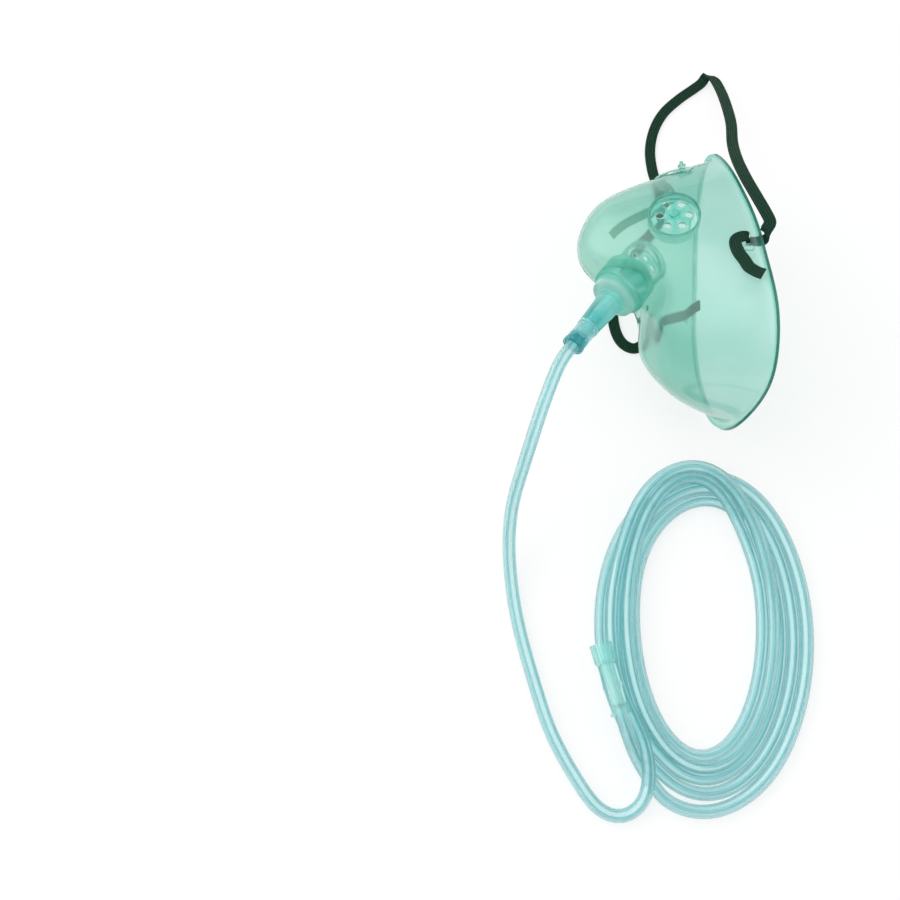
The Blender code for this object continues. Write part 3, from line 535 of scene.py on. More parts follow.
# %% The cage of the wall
WIDTH, HEIGHT, DEPTH = 96 * MM, 147 * MM, 69 * MM
WALL = 1.4 * MM
FLANGE_WIDTH = 3.6 * MM
FLANGE_DROP = 0.8 * MM
PORT_HOLE = 9.5 * MM
MASK_AT = Matrix((
    (0.17796, 0.98317, 0.04138, 0.028),
    (0.04999, -0.05103, 0.99745, -0.0396),
    (0.98277, -0.17543, -0.05823, 0.04667),
    (0, 0, 0, 1),
))
PORT = Matrix((
    (1, 0, 0, 0),
    (0, -0.81513, -0.57928, -0.04692),
    (0, 0.57928, -0.81513, -0.00809),
    (0, 0, 0, 1),
))
SHARES = (0.2, 0.42, 0.64, 0.84, 0.94)
SPOKES = (
    ((0, 100, 2), (97, 99, 80, 39, 17)),
    ((39, 79, 0), (94, 95, 78, 40, 15)),
    ((63, 49, -3), (85, 82, 67, 38, 14)),
    ((83, 16, -6), (75, 67, 49, 25, 7)),
    ((95, -16, -8), (61, 50, 35, 16, 2)),
    ((98, -49, -12), (55, 46, 32, 13, -1)),
    ((83, -77, -15), (54, 48, 37, 15, -2)),
    ((50, -93, -17), (55, 52, 46, 25, 3)),
    ((0, -99, -16), (57, 52, 47, 36, 12)),
)


def spoke_points(number):
    """One spoke, from the port's hole over the wall to the edge of the flange."""
    rim, rises = SPOKES[number]
    angle = math.pi * number / (len(SPOKES) - 1)
    hole = PORT @ Vector((math.sin(angle) * PORT_HOLE, -math.cos(angle) * PORT_HOLE, 0))
    edge = Vector((rim[0] / 100 * WIDTH / 2, -rim[2] / 100 * DEPTH, rim[1] / 100 * HEIGHT / 2))
    outward = Vector((edge.x, 0, edge.z)).normalized()
    bend = edge - outward * FLANGE_WIDTH
    bend.y -= FLANGE_DROP
    points = [hole]
    for share, rise in zip(SHARES, rises):
        point = hole.lerp(bend, share)
        point.y = -rise / 100 * DEPTH
        points.append(point)
    return points + [bend, edge]


def cage_through(points):
    """Moves a half cage so that its smooth surface passes through the given points."""
    half = np.array(points)
    full = np.concatenate((half, half[-2:0:-1] * np.array((-1, 1, 1))))
    spokes, rings = full.shape[:2]
    around = np.eye(spokes) * 4 / 6 + (np.roll(np.eye(spokes), 1, 0) + np.roll(np.eye(spokes), -1, 0)) / 6
    across = np.eye(rings)
    for ring in range(1, rings - 1):
        across[ring, ring - 1 : ring + 2] = (1 / 6, 4 / 6, 1 / 6)
    moved = np.einsum("ij,jkc->ikc", np.linalg.inv(around), full)
    moved = np.einsum("ij,kjc->kic", np.linalg.inv(across), moved)
    return moved[: len(half)]


cage = cage_through([spoke_points(i) for i in range(len(SPOKES))])
cage[0, :, 0] = 0
cage[-1, :, 0] = 0
print("cage:", cage.shape[0], "spokes of", cage.shape[1], "points")

# %% [markdown]
# The smooth surface is read once as a net of faces, so that other parts can be set on it by looking for the place
# where a straight line from the front meets the wall.

# %% The smooth skin
def loose_object(name, points, faces):
    """A mesh object that rides on nothing yet."""
    mesh = bpy.data.meshes.new(name)
    mesh.from_pydata([tuple(p) for p in points], [], faces)
    made = bpy.data.objects.new(name, mesh)
    SCENE.collection.objects.link(made)
    return made


def finished_mesh(obj):
    """The object's mesh after its modifiers."""
    bpy.context.view_layer.update()
    shape = obj.evaluated_get(bpy.context.evaluated_depsgraph_get())
    return bpy.data.meshes.new_from_object(shape)


def smooth_wall(levels):
    """The cage of one half, with its mirror and its subdivision still to be applied."""
    spokes, rings = cage.shape[:2]
    faces = []
    for i in range(spokes - 1):
        for j in range(rings - 1):
            a = i * rings + j
            faces.append((a, a + rings, a + rings + 1, a + 1))
    wall = loose_object("wall_cage", cage.reshape(-1, 3), faces)
    mirror = wall.modifiers.new("both halves", "MIRROR")
    mirror.merge_threshold = 0.00001
    mirror.use_clip = True
    smooth = wall.modifiers.new("smooth", "SUBSURF")
    smooth.levels = smooth.render_levels = levels
    return wall


wall = smooth_wall(3)
skin = finished_mesh(wall)
SKIN = BVHTree.FromPolygons([v.co.copy() for v in skin.vertices], [list(p.vertices) for p in skin.polygons])
print("skin:", len(skin.polygons), "faces")


def on_skin(side, up):
    """The outer face of the wall at this place seen from the front, and the direction out of it."""
    point, normal, _, _ = SKIN.ray_cast(Vector((side, -2 * DEPTH, up)), Vector((0, 1, 0)))
    return point, (-normal if normal.y > 0 else normal)

# %% [markdown]
# ## Turned parts
# The port's collar, the exhalation discs and the pegs of the nose clip are round, so each is a profile turned about
# its axis. Moulded plastic has no sharp edges. A helper rounds each corner of a profile, and those small rounds are
# what catch the light along the rims.

# %% Profiles and turning
def rounded(profile, radius, steps=3):
    """A closed profile with its corners rounded, apart from the points on the axis."""
    result = []
    count = len(profile)
    for i, (r, z) in enumerate(profile):
        here = np.array((r, z), float)
        before = np.array(profile[i - 1], float) - here
        after = np.array(profile[(i + 1) % count], float) - here
        reach = min(radius, 0.45 * np.linalg.norm(before), 0.45 * np.linalg.norm(after))
        if r < 1e-9 or reach < 1e-6:
            result.append((r, z))
            continue
        a = here + before / np.linalg.norm(before) * reach
        b = here + after / np.linalg.norm(after) * reach
        for t in np.linspace(0, 1, steps + 1):
            result.append(tuple(a * (1 - t) ** 2 + here * 2 * t * (1 - t) + b * t**2))
    return result


def in_mm(profile):
    return [(r * MM, z * MM) for r, z in profile]


def turned(name, profile, matrix, steps):
    """A closed solid turned about the Z of its frame."""
    points = []
    for i in range(steps):
        angle = math.tau * i / steps
        points += [matrix @ Vector((r * math.cos(angle), r * math.sin(angle), z)) for r, z in profile]
    made = loose_object(name, points, ring_faces(steps, len(profile), closed=True))
    shape = bmesh.new()
    shape.from_mesh(made.data)
    bmesh.ops.remove_doubles(shape, verts=shape.verts, dist=1e-7)
    bmesh.ops.recalc_face_normals(shape, faces=shape.faces)
    shape.to_mesh(made.data)
    shape.free()
    return made


def drill(name, radius, low, high, matrix, steps):
    return turned(name, [(0, low), (radius, low), (radius, high), (0, high)], matrix, steps)


def block(name, size, matrix, bevel):
    """A box with rounded edges."""
    x, y, z = (v / 2 for v in size)
    points = [matrix @ Vector((i * x, j * y, k * z)) for i in (-1, 1) for j in (-1, 1) for k in (-1, 1)]
    faces = [(0, 1, 3, 2), (4, 6, 7, 5), (0, 4, 5, 1), (2, 3, 7, 6), (0, 2, 6, 4), (1, 5, 7, 3)]
    made = loose_object(name, points, faces)
    edge = made.modifiers.new("rounded edges", "BEVEL")
    edge.width = bevel
    edge.segments = 3
    made.data = finished_mesh(made)
    made.modifiers.clear()
    return made


COLLAR_PROFILE = (
    (5.7, 11), (11.2, 11), (11.5, 6.7), (13.4, 6.2), (13.4, -7), (11.2, -7), (11.2, 5.5), (9, 8.6), (5.7, 8.6),
)
collar = turned("port_collar", rounded(in_mm(COLLAR_PROFILE), 0.8 * MM), PORT, 96)
print("collar:", len(collar.data.polygons), "faces")

# %% [markdown]
# Each exhalation disc is a ring that stands in the wall, with a thin plate, a boss in the middle and six holes. The
# frames of the discs, the pegs and the strap's slots were measured on the CAD model. A small raised dot, the mark of
# the mould's gate, sits on the wall below the port.

# %% Discs, pegs and slots
DISC_FRAME = (
    (-0.0309, -0.29724, 0.9543, 0.0256), (0.00962, -0.9548, -0.29708, -0.02989), (0.99948, 0, 0.03236, 0.0185),
)
PEG_FRAME = (
    (0.75834, 0, 0.65186, 0.009), (0.30787, 0.88144, -0.35816, -0.01836), (-0.57458, 0.4723, 0.66843, 0.0565),
)
SLOT_FRAME = ((0.27917, 0, 0.96024, 0.03779), (0.96024, 0, -0.27917, 0.00127), (0, 1, 0, 0.003))
MIRROR_SIDE = Matrix.Diagonal((-1, 1, 1, 1))
DISC_PROFILE = (
    (0, 1.6), (1.8, 1.6), (2.4, 1.1), (2.4, 0), (11.5, 0), (11.7, 0.8), (12.6, 0.8), (12.6, -6.5), (11.8, -6.5),
    (11.8, -1.4), (0, -1.4),
)
DOT_PROFILE = ((0, 0.7), (0.7, 0.62), (1.3, 0.3), (1.6, -0.2), (1.6, -0.9), (0, -0.9))
DOT_PLACE = (3.5 * MM, -21.5 * MM)
PEG_PROFILE = ((0, 5), (0.9, 5), (1.1, 3.4), (2, 3.4), (2, 2.2), (1.1, 2.2), (1.1, -0.8), (0, -0.8))


def frame_of(rows, sign):
    """The frame on the left side, or its mirror image on the right."""
    matrix = Matrix((*rows, (0, 0, 0, 1)))
    return matrix if sign > 0 else MIRROR_SIDE @ matrix


def disc_on(sign):
    """One disc and the window that it fills."""
    matrix = frame_of(DISC_FRAME, sign)
    disc = turned("disc", rounded(in_mm(DISC_PROFILE), 0.35 * MM), matrix, 72)
    holes = []
    for i in range(6):
        angle = math.tau * (i + 0.5) / 6
        at = matrix @ Matrix.Translation((6.9 * MM * math.cos(angle), 6.9 * MM * math.sin(angle), 0))
        holes.append(drill("disc_hole", 1.8 * MM, -3 * MM, 2 * MM, at, 24))
    return disc, holes, drill("disc_window", 12.2 * MM, -12 * MM, 8 * MM, matrix, 72)


def slot_on(sign):
    """The slot's cutter and the small lug beside it."""
    matrix = frame_of(SLOT_FRAME, sign)
    cut = block("slot_cut", (2.4 * MM, 7.2 * MM, 8 * MM), matrix, 0.6 * MM)
    lug_at = matrix @ Matrix.Translation((0, -6 * MM, 0.45 * MM))
    return cut, block("lug", (5 * MM, 2.4 * MM, 2.3 * MM), lug_at, 0.7 * MM)


def dot_on_skin(side, up):
    """A low round dot on the outside of the wall."""
    point, out = on_skin(side, up)
    matrix = Matrix.Translation(point) @ out.to_track_quat("Z", "Y").to_matrix().to_4x4()
    return turned("gate_dot", rounded(in_mm(DOT_PROFILE), 0.2 * MM), matrix, 24)


print("the dot sits at", [round(v / MM, 1) for v in on_skin(*DOT_PLACE)[0]], "mm in the mask's frame")

# %% [markdown]
# Now the wall gets its thickness, the windows and slots are cut, and the moulded parts are joined on. Exact booleans
# keep it one closed solid, which the absorption inside it needs.

# %% Join the shell
def combined(base, operation, others):
    """The base's mesh after one boolean with all the others, which are then removed."""
    group = bpy.data.collections.new("operands")
    for other in others:
        SCENE.collection.objects.unlink(other)
        group.objects.link(other)
    SCENE.collection.children.link(group)
    tool = base.modifiers.new(operation, "BOOLEAN")
    tool.operation = operation
    tool.operand_type = "COLLECTION"
    tool.collection = group
    tool.solver = "EXACT"
    base.data = finished_mesh(base)
    base.modifiers.clear()
    for other in others:
        bpy.data.objects.remove(other)
    bpy.data.collections.remove(group)


def smooth_by_angle(mesh, degrees):
    mesh.polygons.foreach_set("use_smooth", [True] * len(mesh.polygons))
    mesh.set_sharp_from_angle(angle=math.radians(degrees))


solid = wall.modifiers.new("thickness", "SOLIDIFY")
solid.thickness = WALL
solid.offset = -1
solid.use_even_offset = True
solid.use_quality_normals = True
windows = [drill("port_window", 12.6 * MM, -12 * MM, 12 * MM, PORT, 96)]
moulded = [dot_on_skin(*DOT_PLACE)]
discs = {}
for sign, side in ((1, "left"), (-1, "right")):
    disc, holes, window = disc_on(sign)
    combined(disc, "DIFFERENCE", holes)
    discs[side] = disc
    cut, lug = slot_on(sign)
    peg = turned("peg", rounded(in_mm(PEG_PROFILE), 0.3 * MM), frame_of(PEG_FRAME, sign), 24)
    windows += [window, cut]
    moulded += [lug, peg]
combined(wall, "DIFFERENCE", windows)
combined(wall, "UNION", moulded)
print("joined wall:", len(wall.data.polygons), "faces")

# %% [markdown]
# The colour isn't even over the mask. It is deep along the rim, where the eye looks through the whole width of the
# flange. It is pale towards the nose, and that paleness is painted light: it stands in for the highlights and the light
# from behind that brighten the nose. Each point of a piece stores how deep its tint is, and the finish reads that
# number.

# %% Tints of the shell
def mask_piece(name, made, material, tint_at):
    """Turns a helper in the mask's frame into a piece, with its tint stored at each point."""
    mesh = made.data
    tint = mesh.attributes.new("tint", "FLOAT", "POINT")
    tint.data.foreach_set("value", [tint_at(v.co) for v in mesh.vertices])
    mesh.transform(MASK_AT)
    smooth_by_angle(mesh, 32)
    mesh.materials.clear()
    mesh.materials.append(material)
    piece = bpy.data.objects.new(name, mesh)
    SCENE.collection.objects.link(piece)
    bpy.data.objects.remove(made)
    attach(piece, "mask")
    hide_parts("mask_shell")
    return piece


def rim_tree():
    """The points of the rim's edge, for finding how near a point is to it. The port's edge is left out."""
    edge_uses = {}
    for polygon in skin.polygons:
        for key in polygon.edge_keys:
            edge_uses[key] = edge_uses.get(key, 0) + 1
    spots = {v for key, uses in edge_uses.items() if uses == 1 for v in key}
    spots = [skin.vertices[v].co for v in spots if (skin.vertices[v].co - PORT.translation).length > 20 * MM]
    tree = KDTree(len(spots))
    for i, spot in enumerate(spots):
        tree.insert(spot, i)
    tree.balance()
    return tree


RIM = rim_tree()


def ramp(value, start, end):
    """How far the value has come from start to end, kept between 0 and 1."""
    return min(1, max(0, (value - start) / (end - start)))


def wall_tint(point):
    """Deep along the rim, middling on the upper cheek, and pale towards the nose, where the paleness is painted light.
    """
    upper = ramp(point.x, -15 * MM, 15 * MM)
    # Paler towards the nose: painted light that stands in for the highlights and the light from behind there.
    painted_nose_light = ramp(-point.y / DEPTH, 0.45, 0.9)
    from_rim = ramp(RIM.find(point)[2], 0.9 * MM, 2.7 * MM)
    return (0.14 + 0.25 * upper) * (1 - 0.8 * painted_nose_light) + 0.65 * (1 - from_rim)


def collar_tint(point):
    """Deep on the collar's side and pale on its end face."""
    return 0.1 if (PORT.inverted() @ point).z > 9.5 * MM else 0.9


def disc_tint(sign):
    """Deep on the boss and the ring, and middling on the plate."""
    inside = frame_of(DISC_FRAME, sign).inverted()

    def tint_at(point):
        place = inside @ point
        radius = math.hypot(place.x, place.y) / MM
        return 1.0 if radius < 3 else 0.2 if radius < 11 or place.z < 0 else 0.7

    return tint_at


shell = mask_piece("mask_wall", wall, MASK_VINYL, wall_tint)
mask_piece("port_collar", collar, MOULDED_VINYL, collar_tint)
mask_piece("left_disc", discs["left"], DISC_VINYL, disc_tint(1))
mask_piece("right_disc", discs["right"], DISC_VINYL, disc_tint(-1))
print("shell:", len(shell.data.polygons), "faces, loose edges", sum(e.is_loose for e in shell.data.edges))

# %% [markdown]
# ## The connectors and the nose clip
# These CAD pieces have the right shape already, so they keep it. They only get smooth shading and a better finish. A
# small geometry nodes modifier sets the smooth shading, and leaves an edge sharp where it bends by more than 32
# degrees.

# %% Smooth shading for CAD pieces
def smoothing_group(degrees):
    """A node group that shades smooth, apart from sharp edges."""
    group = bpy.data.node_groups.new("smooth by angle", "GeometryNodeTree")
    group.interface.new_socket("Geometry", in_out="INPUT", socket_type="NodeSocketGeometry")
    group.interface.new_socket("Geometry", in_out="OUTPUT", socket_type="NodeSocketGeometry")
    start = add_node(group, "NodeGroupInput")
    faces = add_node(group, "GeometryNodeSetShadeSmooth", Geometry=start.outputs[0])
    angle = add_node(group, "GeometryNodeInputMeshEdgeAngle").outputs["Unsigned Angle"]
    sharp = add_node(group, "FunctionNodeCompare", operation="LESS_THAN", A=angle, B=math.radians(degrees))
    edges = add_node(
        group, "GeometryNodeSetShadeSmooth", domain="EDGE", Geometry=faces.outputs["Geometry"],
        Shade_Smooth=sharp.outputs["Result"],
    )
    end = add_node(group, "NodeGroupOutput")
    group.links.new(edges.outputs["Geometry"], end.inputs[0])
    return group


SMOOTHING = smoothing_group(32)


def finish_node(name, material):
    """Gives a CAD node its finish and smooth shading."""
    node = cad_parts[name]
    if not node.material_slots:
        node.data.materials.append(material)
    for place in node.material_slots:
        place.material = material
    node.modifiers.new("smooth", "NODES").node_group = SMOOTHING


print("smoothing group:", len(SMOOTHING.nodes), "nodes")

# %% [markdown]
# The connectors aren't evenly coloured either. The swivel is pale at the collar and deeper towards the sleeve, and the
# sleeve is deep only at its open end. Their tint grows along the connector's axis.

# %% The connectors' finishes
def along_port(node, first, last):
    """An amount that grows along the connector's axis, between two distances in millimetres from the sleeve's end."""
    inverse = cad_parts[node].matrix_world.inverted()
    start, end = (inverse @ (Vector(SLEEVE_END) + Vector(SLEEVE_AXIS) * far * MM) for far in (first, last))

    def amount(tree):
        place = add_node(tree, "ShaderNodeTexCoord")
        aside = add_node(tree, "ShaderNodeVectorMath", operation="SUBTRACT")
        aside.inputs[1].default_value = start
        tree.links.new(place.outputs["Object"], aside.inputs[0])
        reach = add_node(tree, "ShaderNodeVectorMath", operation="DOT_PRODUCT")
        reach.inputs[1].default_value = (end - start) / (end - start).length_squared
        tree.links.new(aside.outputs["Vector"], reach.inputs[0])
        return wandering(tree, reach.outputs["Value"], 60, 0.08)

    return amount


SLEEVE_AXIS = (-0.586, -0.798, 0.141)
SWIVEL_PLASTIC = clear_plastic(
    "teal_connector_plastic", pale=(0.9, 1, 1), deep=(0.66, 0.95, 0.95), absorbs=(0.1, 0.7, 0.68), density=80,
    milk=0.36, pale_milk=(0.62, 0.97, 0.93), deep_milk=(0.2, 0.7, 0.69),
    amount=along_port("swivel_connector", -30, -19), wave=(120, 0.03),
)
SLEEVE_PLASTIC = clear_plastic(
    "clear_sleeve_plastic", pale=(0.94, 1, 1), deep=(0.4, 0.85, 0.86), absorbs=(0.1, 0.66, 0.68), density=80, milk=0.2,
    pale_milk=(0.7, 0.97, 0.96), deep_milk=(0.03, 0.34, 0.38), amount=along_port("tube_connector", -7, -4),
    wave=(120, 0.03),
)
finish_node("swivel_connector", SWIVEL_PLASTIC)
finish_node("tube_connector", SLEEVE_PLASTIC)
finish_node("supply_connector", PALE_PLASTIC)
print("connectors finished")

# %% [markdown]
# The nose clip is a strip of soft aluminium. Rolled aluminium has fine lines along the strip and a satin surface, so
# its colour and bump come from a noise that is stretched in one direction, and its roughness drifts with a fine noise.

# %% The clip's metal
def satin_metal(name, colour):
    """Rolled metal with fine lines along the object's X."""
    material, tree = new_material(name)
    place = add_node(tree, "ShaderNodeTexCoord").outputs["Object"]
    stretch = add_node(tree, "ShaderNodeMapping", Scale=(1, 18, 18), Vector=place).outputs["Vector"]
    lines = add_node(tree, "ShaderNodeTexNoise", Scale=160, Detail=5, Vector=stretch).outputs["Fac"]
    metal = add_node(
        tree, "ShaderNodeBsdfPrincipled", Metallic=0.5,
        Base_Color=colour_between(tree, lines, colour, tuple(c * 0.82 for c in colour)),
        Roughness=noise_between(tree, 240, 0.28, 0.46), Normal=bump_of(tree, lines, 0.2, 0.1 * MM),
    )
    add_node(tree, "ShaderNodeOutputMaterial", Surface=metal.outputs["BSDF"])
    return material


CLIP_METAL = satin_metal("satin_clip_metal", (0.42, 0.76, 0.67))
finish_node("nose_clip", CLIP_METAL)
print("clip finished with", CLIP_METAL.name)

# %% [markdown]
# ## The elastic strap
# The strap is a flat woven elastic with five rubber cords inside, which show as long ribs. Its line and the way its
# width points are the CAD model's: from the loose end, through the left slot, behind the rim, down to the table,
# round a crease, and under the nose to the right slot.

# %% The strap's line
STRAP = (
    (39.2, -57.9, 92.2, -0.34, -0.94, 0.11), (37, -56.4, 91.1, -0.66, -0.75, 0.05),
    (33.7, -53.2, 89.8, -0.92, -0.38, -0.12), (32.2, -49.1, 88.6, -0.98, -0.07, -0.18),
    (30.2, -44.6, 87.4, -0.98, 0.03, -0.18), (29.3, -40.1, 86.3, -0.97, 0.13, -0.19),
    (29.9, -36.7, 85.5, -0.88, 0.43, -0.17), (33.2, -34.8, 85.1, -0.49, 0.86, -0.16), (36, -34.7, 84.3, 0.04, 1, -0.06),
    (36.2, -34.8, 82.6, 0.04, 1, -0.06), (36.3, -34.9, 81.4, 0.04, 1, -0.06), (35.4, -35.5, 81.2, -0.01, 0.94, -0.34),
    (38.4, -35.8, 80.8, -0.02, 0.92, -0.38), (42, -35.9, 81.8, -0.01, 0.94, -0.34),
    (44.4, -35.6, 85, 0.02, 0.99, -0.16), (43.5, -33.6, 88.6, -0.6, 0.8, 0), (45.5, -29.6, 89.2, -0.97, 0.24, 0),
    (44, -22.6, 87.6, -1, -0.1, 0), (41.5, -11.6, 83.5, -0.99, -0.15, 0), (39.5, 1.4, 77, -0.98, -0.2, 0),
    (39, 17.4, 67, -0.98, -0.2, 0), (41, 35.4, 54, -1, -0.1, 0), (45, 57.4, 40, -1, 0, 0), (47, 82.4, 24, -1, 0, 0),
    (47, 100.4, 12.5, -1, 0, 0), (46, 107.9, 7.5, -1, 0.1, 0), (43.5, 111.9, 4, -0.95, 0.3, 0),
    (41, 109.4, 1.2, -0.86, 0.51, 0), (36, 105.4, 0.9, -0.78, 0.62, 0), (27, 98.4, 0.9, -0.76, 0.65, 0),
    (18, 89.4, 0.9, -0.8, 0.6, 0), (12, 78.4, 0.9, -0.95, 0.3, 0), (9, 65.4, 0.9, -1, 0.1, 0),
    (9.5, 52.4, 0.9, -0.99, -0.15, 0), (12, 40.4, 0.9, -0.99, -0.15, 0), (12.5, 27.4, 0.9, -1, 0.1, 0),
    (8, 14.4, 0.9, -0.86, 0.51, 0), (-1, 4.4, 0.9, -0.73, 0.68, 0), (-10, -6.6, 0.9, -0.86, 0.51, 0),
    (-15, -21.6, 0.9, -0.98, 0.2, 0), (-16.5, -34.6, 0.9, -1, 0.05, 0), (-15.5, -45.6, 0.9, -0.98, -0.2, 0),
    (-12, -53.1, 0.9, -0.71, -0.71, 0), (-6, -56.1, 0.9, 0, -1, 0), (0, -52.6, 0.9, 0.8, -0.6, 0),
    (3, -46.1, 0.9, 0.91, -0.41, 0), (7, -40.6, 1.2, 0.51, -0.86, 0), (20.4, -38.7, 4.7, -0.04, -1, 0.06),
    (22.6, -38.6, 9.1, -0.04, -1, 0.06), (24.4, -38.4, 12.7, -0.04, -1, 0.06), (26.7, -38.3, 17.2, -0.04, -1, 0.06),
)
STRAP_WIDTH = 6 * MM
RIBS = 5
strap_rows = np.array(STRAP) * np.array((MM, MM, MM, 1, 1, 1))
strap_line = smooth_line(strap_rows, 1.2 * MM)
print("strap:", round(line_length(strap_line[:, :3]), 3), "m long")

# %% [markdown]
# The outline of the band is a row of ribs above and below, and it is swept along the line. Its UV map holds the
# distance along the band and across it in millimetres, so that the weave can follow the band round every bend.

# %% Sweep the band
def rib_outline(points_per_rib=5):
    """The band's outline, as (across, up) in metres."""
    steps = RIBS * points_per_rib
    shares = [(i + 0.5) / steps for i in range(steps)]
    heights = [(0.3 + 0.3 * abs(math.sin(math.pi * s * RIBS)) ** 0.7) * MM for s in shares]
    top = [((s - 0.5) * STRAP_WIDTH, h) for s, h in zip(shares, heights)]
    return top + [(x, -h) for x, h in reversed(top)]


def band_mesh(rows, outline):
    """The outline swept along the rows, each of which is a place and the way that the width points there."""
    points = rows[:, :3]
    ahead = directions(points)
    across = rows[:, 3:] - ahead * np.sum(rows[:, 3:] * ahead, axis=1)[:, None]
    across /= np.linalg.norm(across, axis=1)[:, None]
    out = np.cross(ahead, across)
    verts = []
    for point, side, up in zip(points, across, out):
        verts += [point + side * x + up * h for x, h in outline]
    count = len(outline)
    faces = ring_faces(len(rows), count)
    faces += [tuple(range(count - 1, -1, -1)), tuple(range((len(rows) - 1) * count, len(rows) * count))]
    return verts, [tuple(reversed(f)) for f in faces]


def add_band_map(piece, rows, outline):
    """A UV map in millimetres: along the band and across it."""
    reached = reached_along(rows) / MM
    uv = piece.data.uv_layers.new(name="band")
    count = len(outline)
    flat = [0.0] * (2 * len(piece.data.loops))
    for i, loop in enumerate(piece.data.loops):
        row, spot = divmod(loop.vertex_index, count)
        flat[2 * i] = reached[row]
        flat[2 * i + 1] = outline[spot][0] / MM
    uv.data.foreach_set("uv", flat)


outline = rib_outline()
print("band outline:", len(outline), "points")

# %% [markdown]
# Close up, each rib carries fine slanted stitches, and the grooves between the ribs are almost black. The finish draws
# both from the band's UV map, and a fine noise breaks them up as loose fibres do.

# %% The weave
def elastic_material(name):
    """Dark green woven elastic: fine slanted stitches on each rib, darker grooves, and fibre sheen."""
    material, tree = new_material(name)
    band = add_node(tree, "ShaderNodeUVMap", uv_map="band")
    parts = add_node(tree, "ShaderNodeSeparateXYZ", Vector=band.outputs["UV"])
    width = STRAP_WIDTH / MM
    across = maths(tree, "MULTIPLY", maths(tree, "ADD", parts.outputs["Y"], width / 2), RIBS / width)
    rib = maths(tree, "PINGPONG", across, 0.5)
    along = maths(tree, "ADD", parts.outputs["X"], maths(tree, "MULTIPLY", rib, 1.4))
    stitch = maths(tree, "SINE", maths(tree, "MULTIPLY", along, 7.4))
    stitch = maths(tree, "ADD", maths(tree, "MULTIPLY", stitch, 0.5), 0.5)
    groove = maths(tree, "MINIMUM", maths(tree, "MULTIPLY", rib, 4), 1)
    light = maths(tree, "MULTIPLY", maths(tree, "MULTIPLY", stitch, groove), noise_between(tree, 900, 0.7, 1.1))
    cloth = add_node(
        tree, "ShaderNodeBsdfPrincipled", Sheen_Weight=0.02, Sheen_Roughness=0.5, Specular_IOR_Level=0.12,
        Base_Color=colour_between(tree, light, (0.002, 0.008, 0.004), (0.026, 0.1, 0.06)),
        Roughness=noise_between(tree, 300, 0.72, 0.92), Normal=bump_of(tree, light, 0.5, 0.12 * MM),
    )
    add_node(tree, "ShaderNodeOutputMaterial", Surface=cloth.outputs["BSDF"])
    return material


ELASTIC = elastic_material("green_elastic_weave")
strap = new_piece("elastic_band", *band_mesh(strap_line, outline), "mask", "strap_elastic", ELASTIC)
add_band_map(strap, strap_line, outline)
smooth_by_angle(strap.data, 60)
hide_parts("head_strap")
print("band faces:", len(strap.data.polygons))

# %% [markdown]
# ## The table and the light
# The photograph has a pure white ground and soft light from all round. The table is white, and most of its brightness
# is a steady white for what the camera sees, directly or through the clear plastic. The rest is lit, so the mask
# still has a soft shadow under it. The sky glows on one side, which gives highlights with no edge on the vinyl, and
# three soft boxes light what isn't clear. They are hidden from reflections, where their square outlines would show.
# Clear plastic in front of clear plastic needs many bounces of light, so their limits are raised.

# %% Table, sky and lamps
STEADY_SHARE = 0.72


def table_material():
    """White, with a steady share of its brightness for the eye and the rest from the lamps."""
    material, tree = new_material("white_table")
    ray = add_node(tree, "ShaderNodeLightPath").outputs
    seen = maths(tree, "MAXIMUM", ray["Is Camera Ray"], ray["Is Glossy Ray"])
    seen = maths(tree, "MAXIMUM", seen, ray["Is Transmission Ray"])
    share = maths(tree, "MULTIPLY", seen, STEADY_SHARE)
    lit = add_node(tree, "ShaderNodeBsdfDiffuse", Color=(0.93, 0.93, 0.93, 1))
    steady = add_node(tree, "ShaderNodeEmission", Strength=1)
    both = mixed(tree, share, lit.outputs["BSDF"], steady.outputs["Emission"])
    add_node(tree, "ShaderNodeOutputMaterial", Surface=both)
    return material


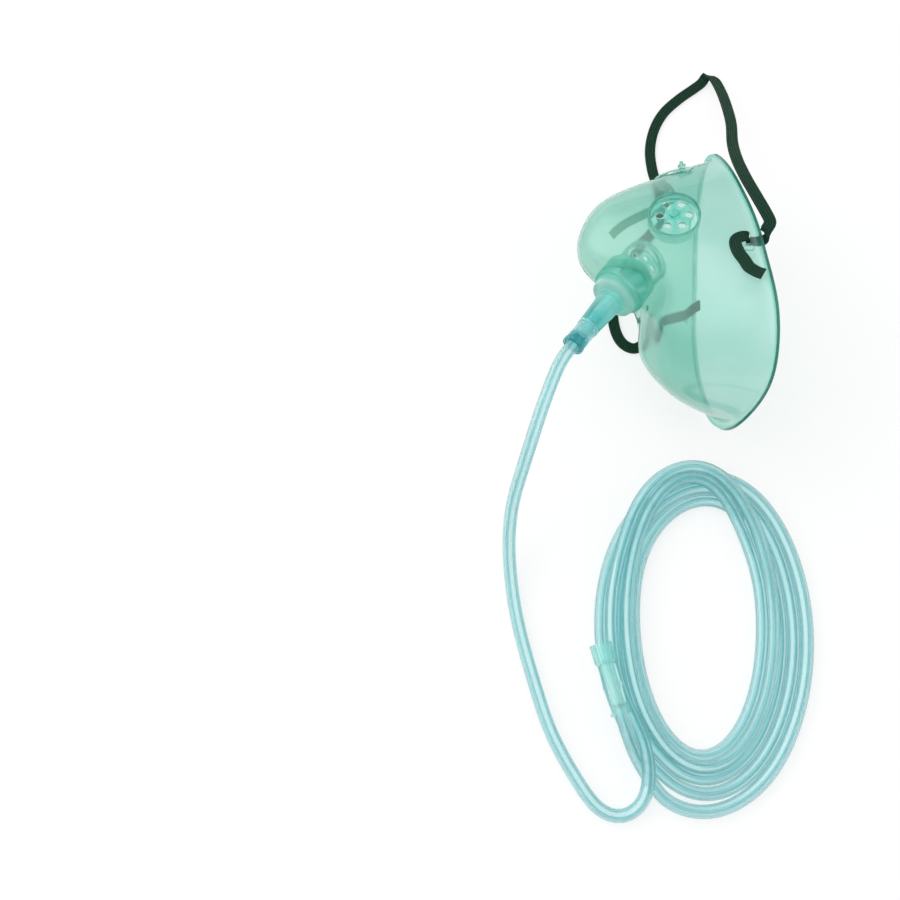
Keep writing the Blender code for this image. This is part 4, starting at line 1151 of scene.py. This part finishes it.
def soft_box(name, place, target, size, power):
    """A large soft lamp that looks at its target and isn't seen in reflections."""
    lamp = bpy.data.lights.new(name, "AREA")
    lamp.shape = "RECTANGLE"
    lamp.size, lamp.size_y = size
    lamp.energy = power
    made = bpy.data.objects.new(name, lamp)
    made.location = place
    made.rotation_euler = (Vector(target) - Vector(place)).to_track_quat("-Z", "Y").to_euler()
    made.visible_glossy = made.visible_transmission = False
    SCENE.collection.objects.link(made)


def glowing_sky(name, towards, low, high):
    """A white sky that grows brighter towards one side, for soft highlights with no edge."""
    sky = bpy.data.worlds.new(name)
    sky.use_nodes = True
    tree = sky.node_tree
    place = add_node(tree, "ShaderNodeTexCoord")
    facing = add_node(tree, "ShaderNodeVectorMath", operation="DOT_PRODUCT")
    facing.inputs[1].default_value = Vector(towards).normalized()
    tree.links.new(place.outputs["Generated"], facing.inputs[0])
    glow = spread_over(tree, facing.outputs["Value"], 0.62, 1, low, high, "SMOOTHSTEP")
    ray = add_node(tree, "ShaderNodeLightPath")
    strength = add_node(tree, "ShaderNodeMix", data_type="FLOAT", Factor=ray.outputs["Is Camera Ray"], A=glow, B=1)
    tree.nodes["Background"].inputs["Color"].default_value = (1, 1, 1, 1)
    tree.links.new(strength.outputs["Result"], tree.nodes["Background"].inputs["Strength"])
    return sky


table = loose_object("table", [(-3, -3, 0), (3, -3, 0), (3, 3, 0), (-3, 3, 0)], [(0, 1, 2, 3)])
table.data.materials.append(table_material())
SCENE.world = glowing_sky("white_sky", (-0.6, 0.35, 0.72), 0.62, 2.0)
soft_box("key_box", (-0.8, 0.5, 0.8), (0, -0.05, 0.04), (0.9, 0.9), 2.6)
soft_box("low_box", (-1.0, -0.35, 0.4), (0, -0.15, 0.02), (0.4, 0.9), 2)
soft_box("side_box", (0.9, -0.4, 0.8), (0, -0.1, 0.04), (0.5, 0.9), 1.8)
SCENE.view_settings.view_transform = "Standard"
SCENE.cycles.max_bounces = SCENE.cycles.transmission_bounces = 18
SCENE.cycles.transparent_max_bounces = 24
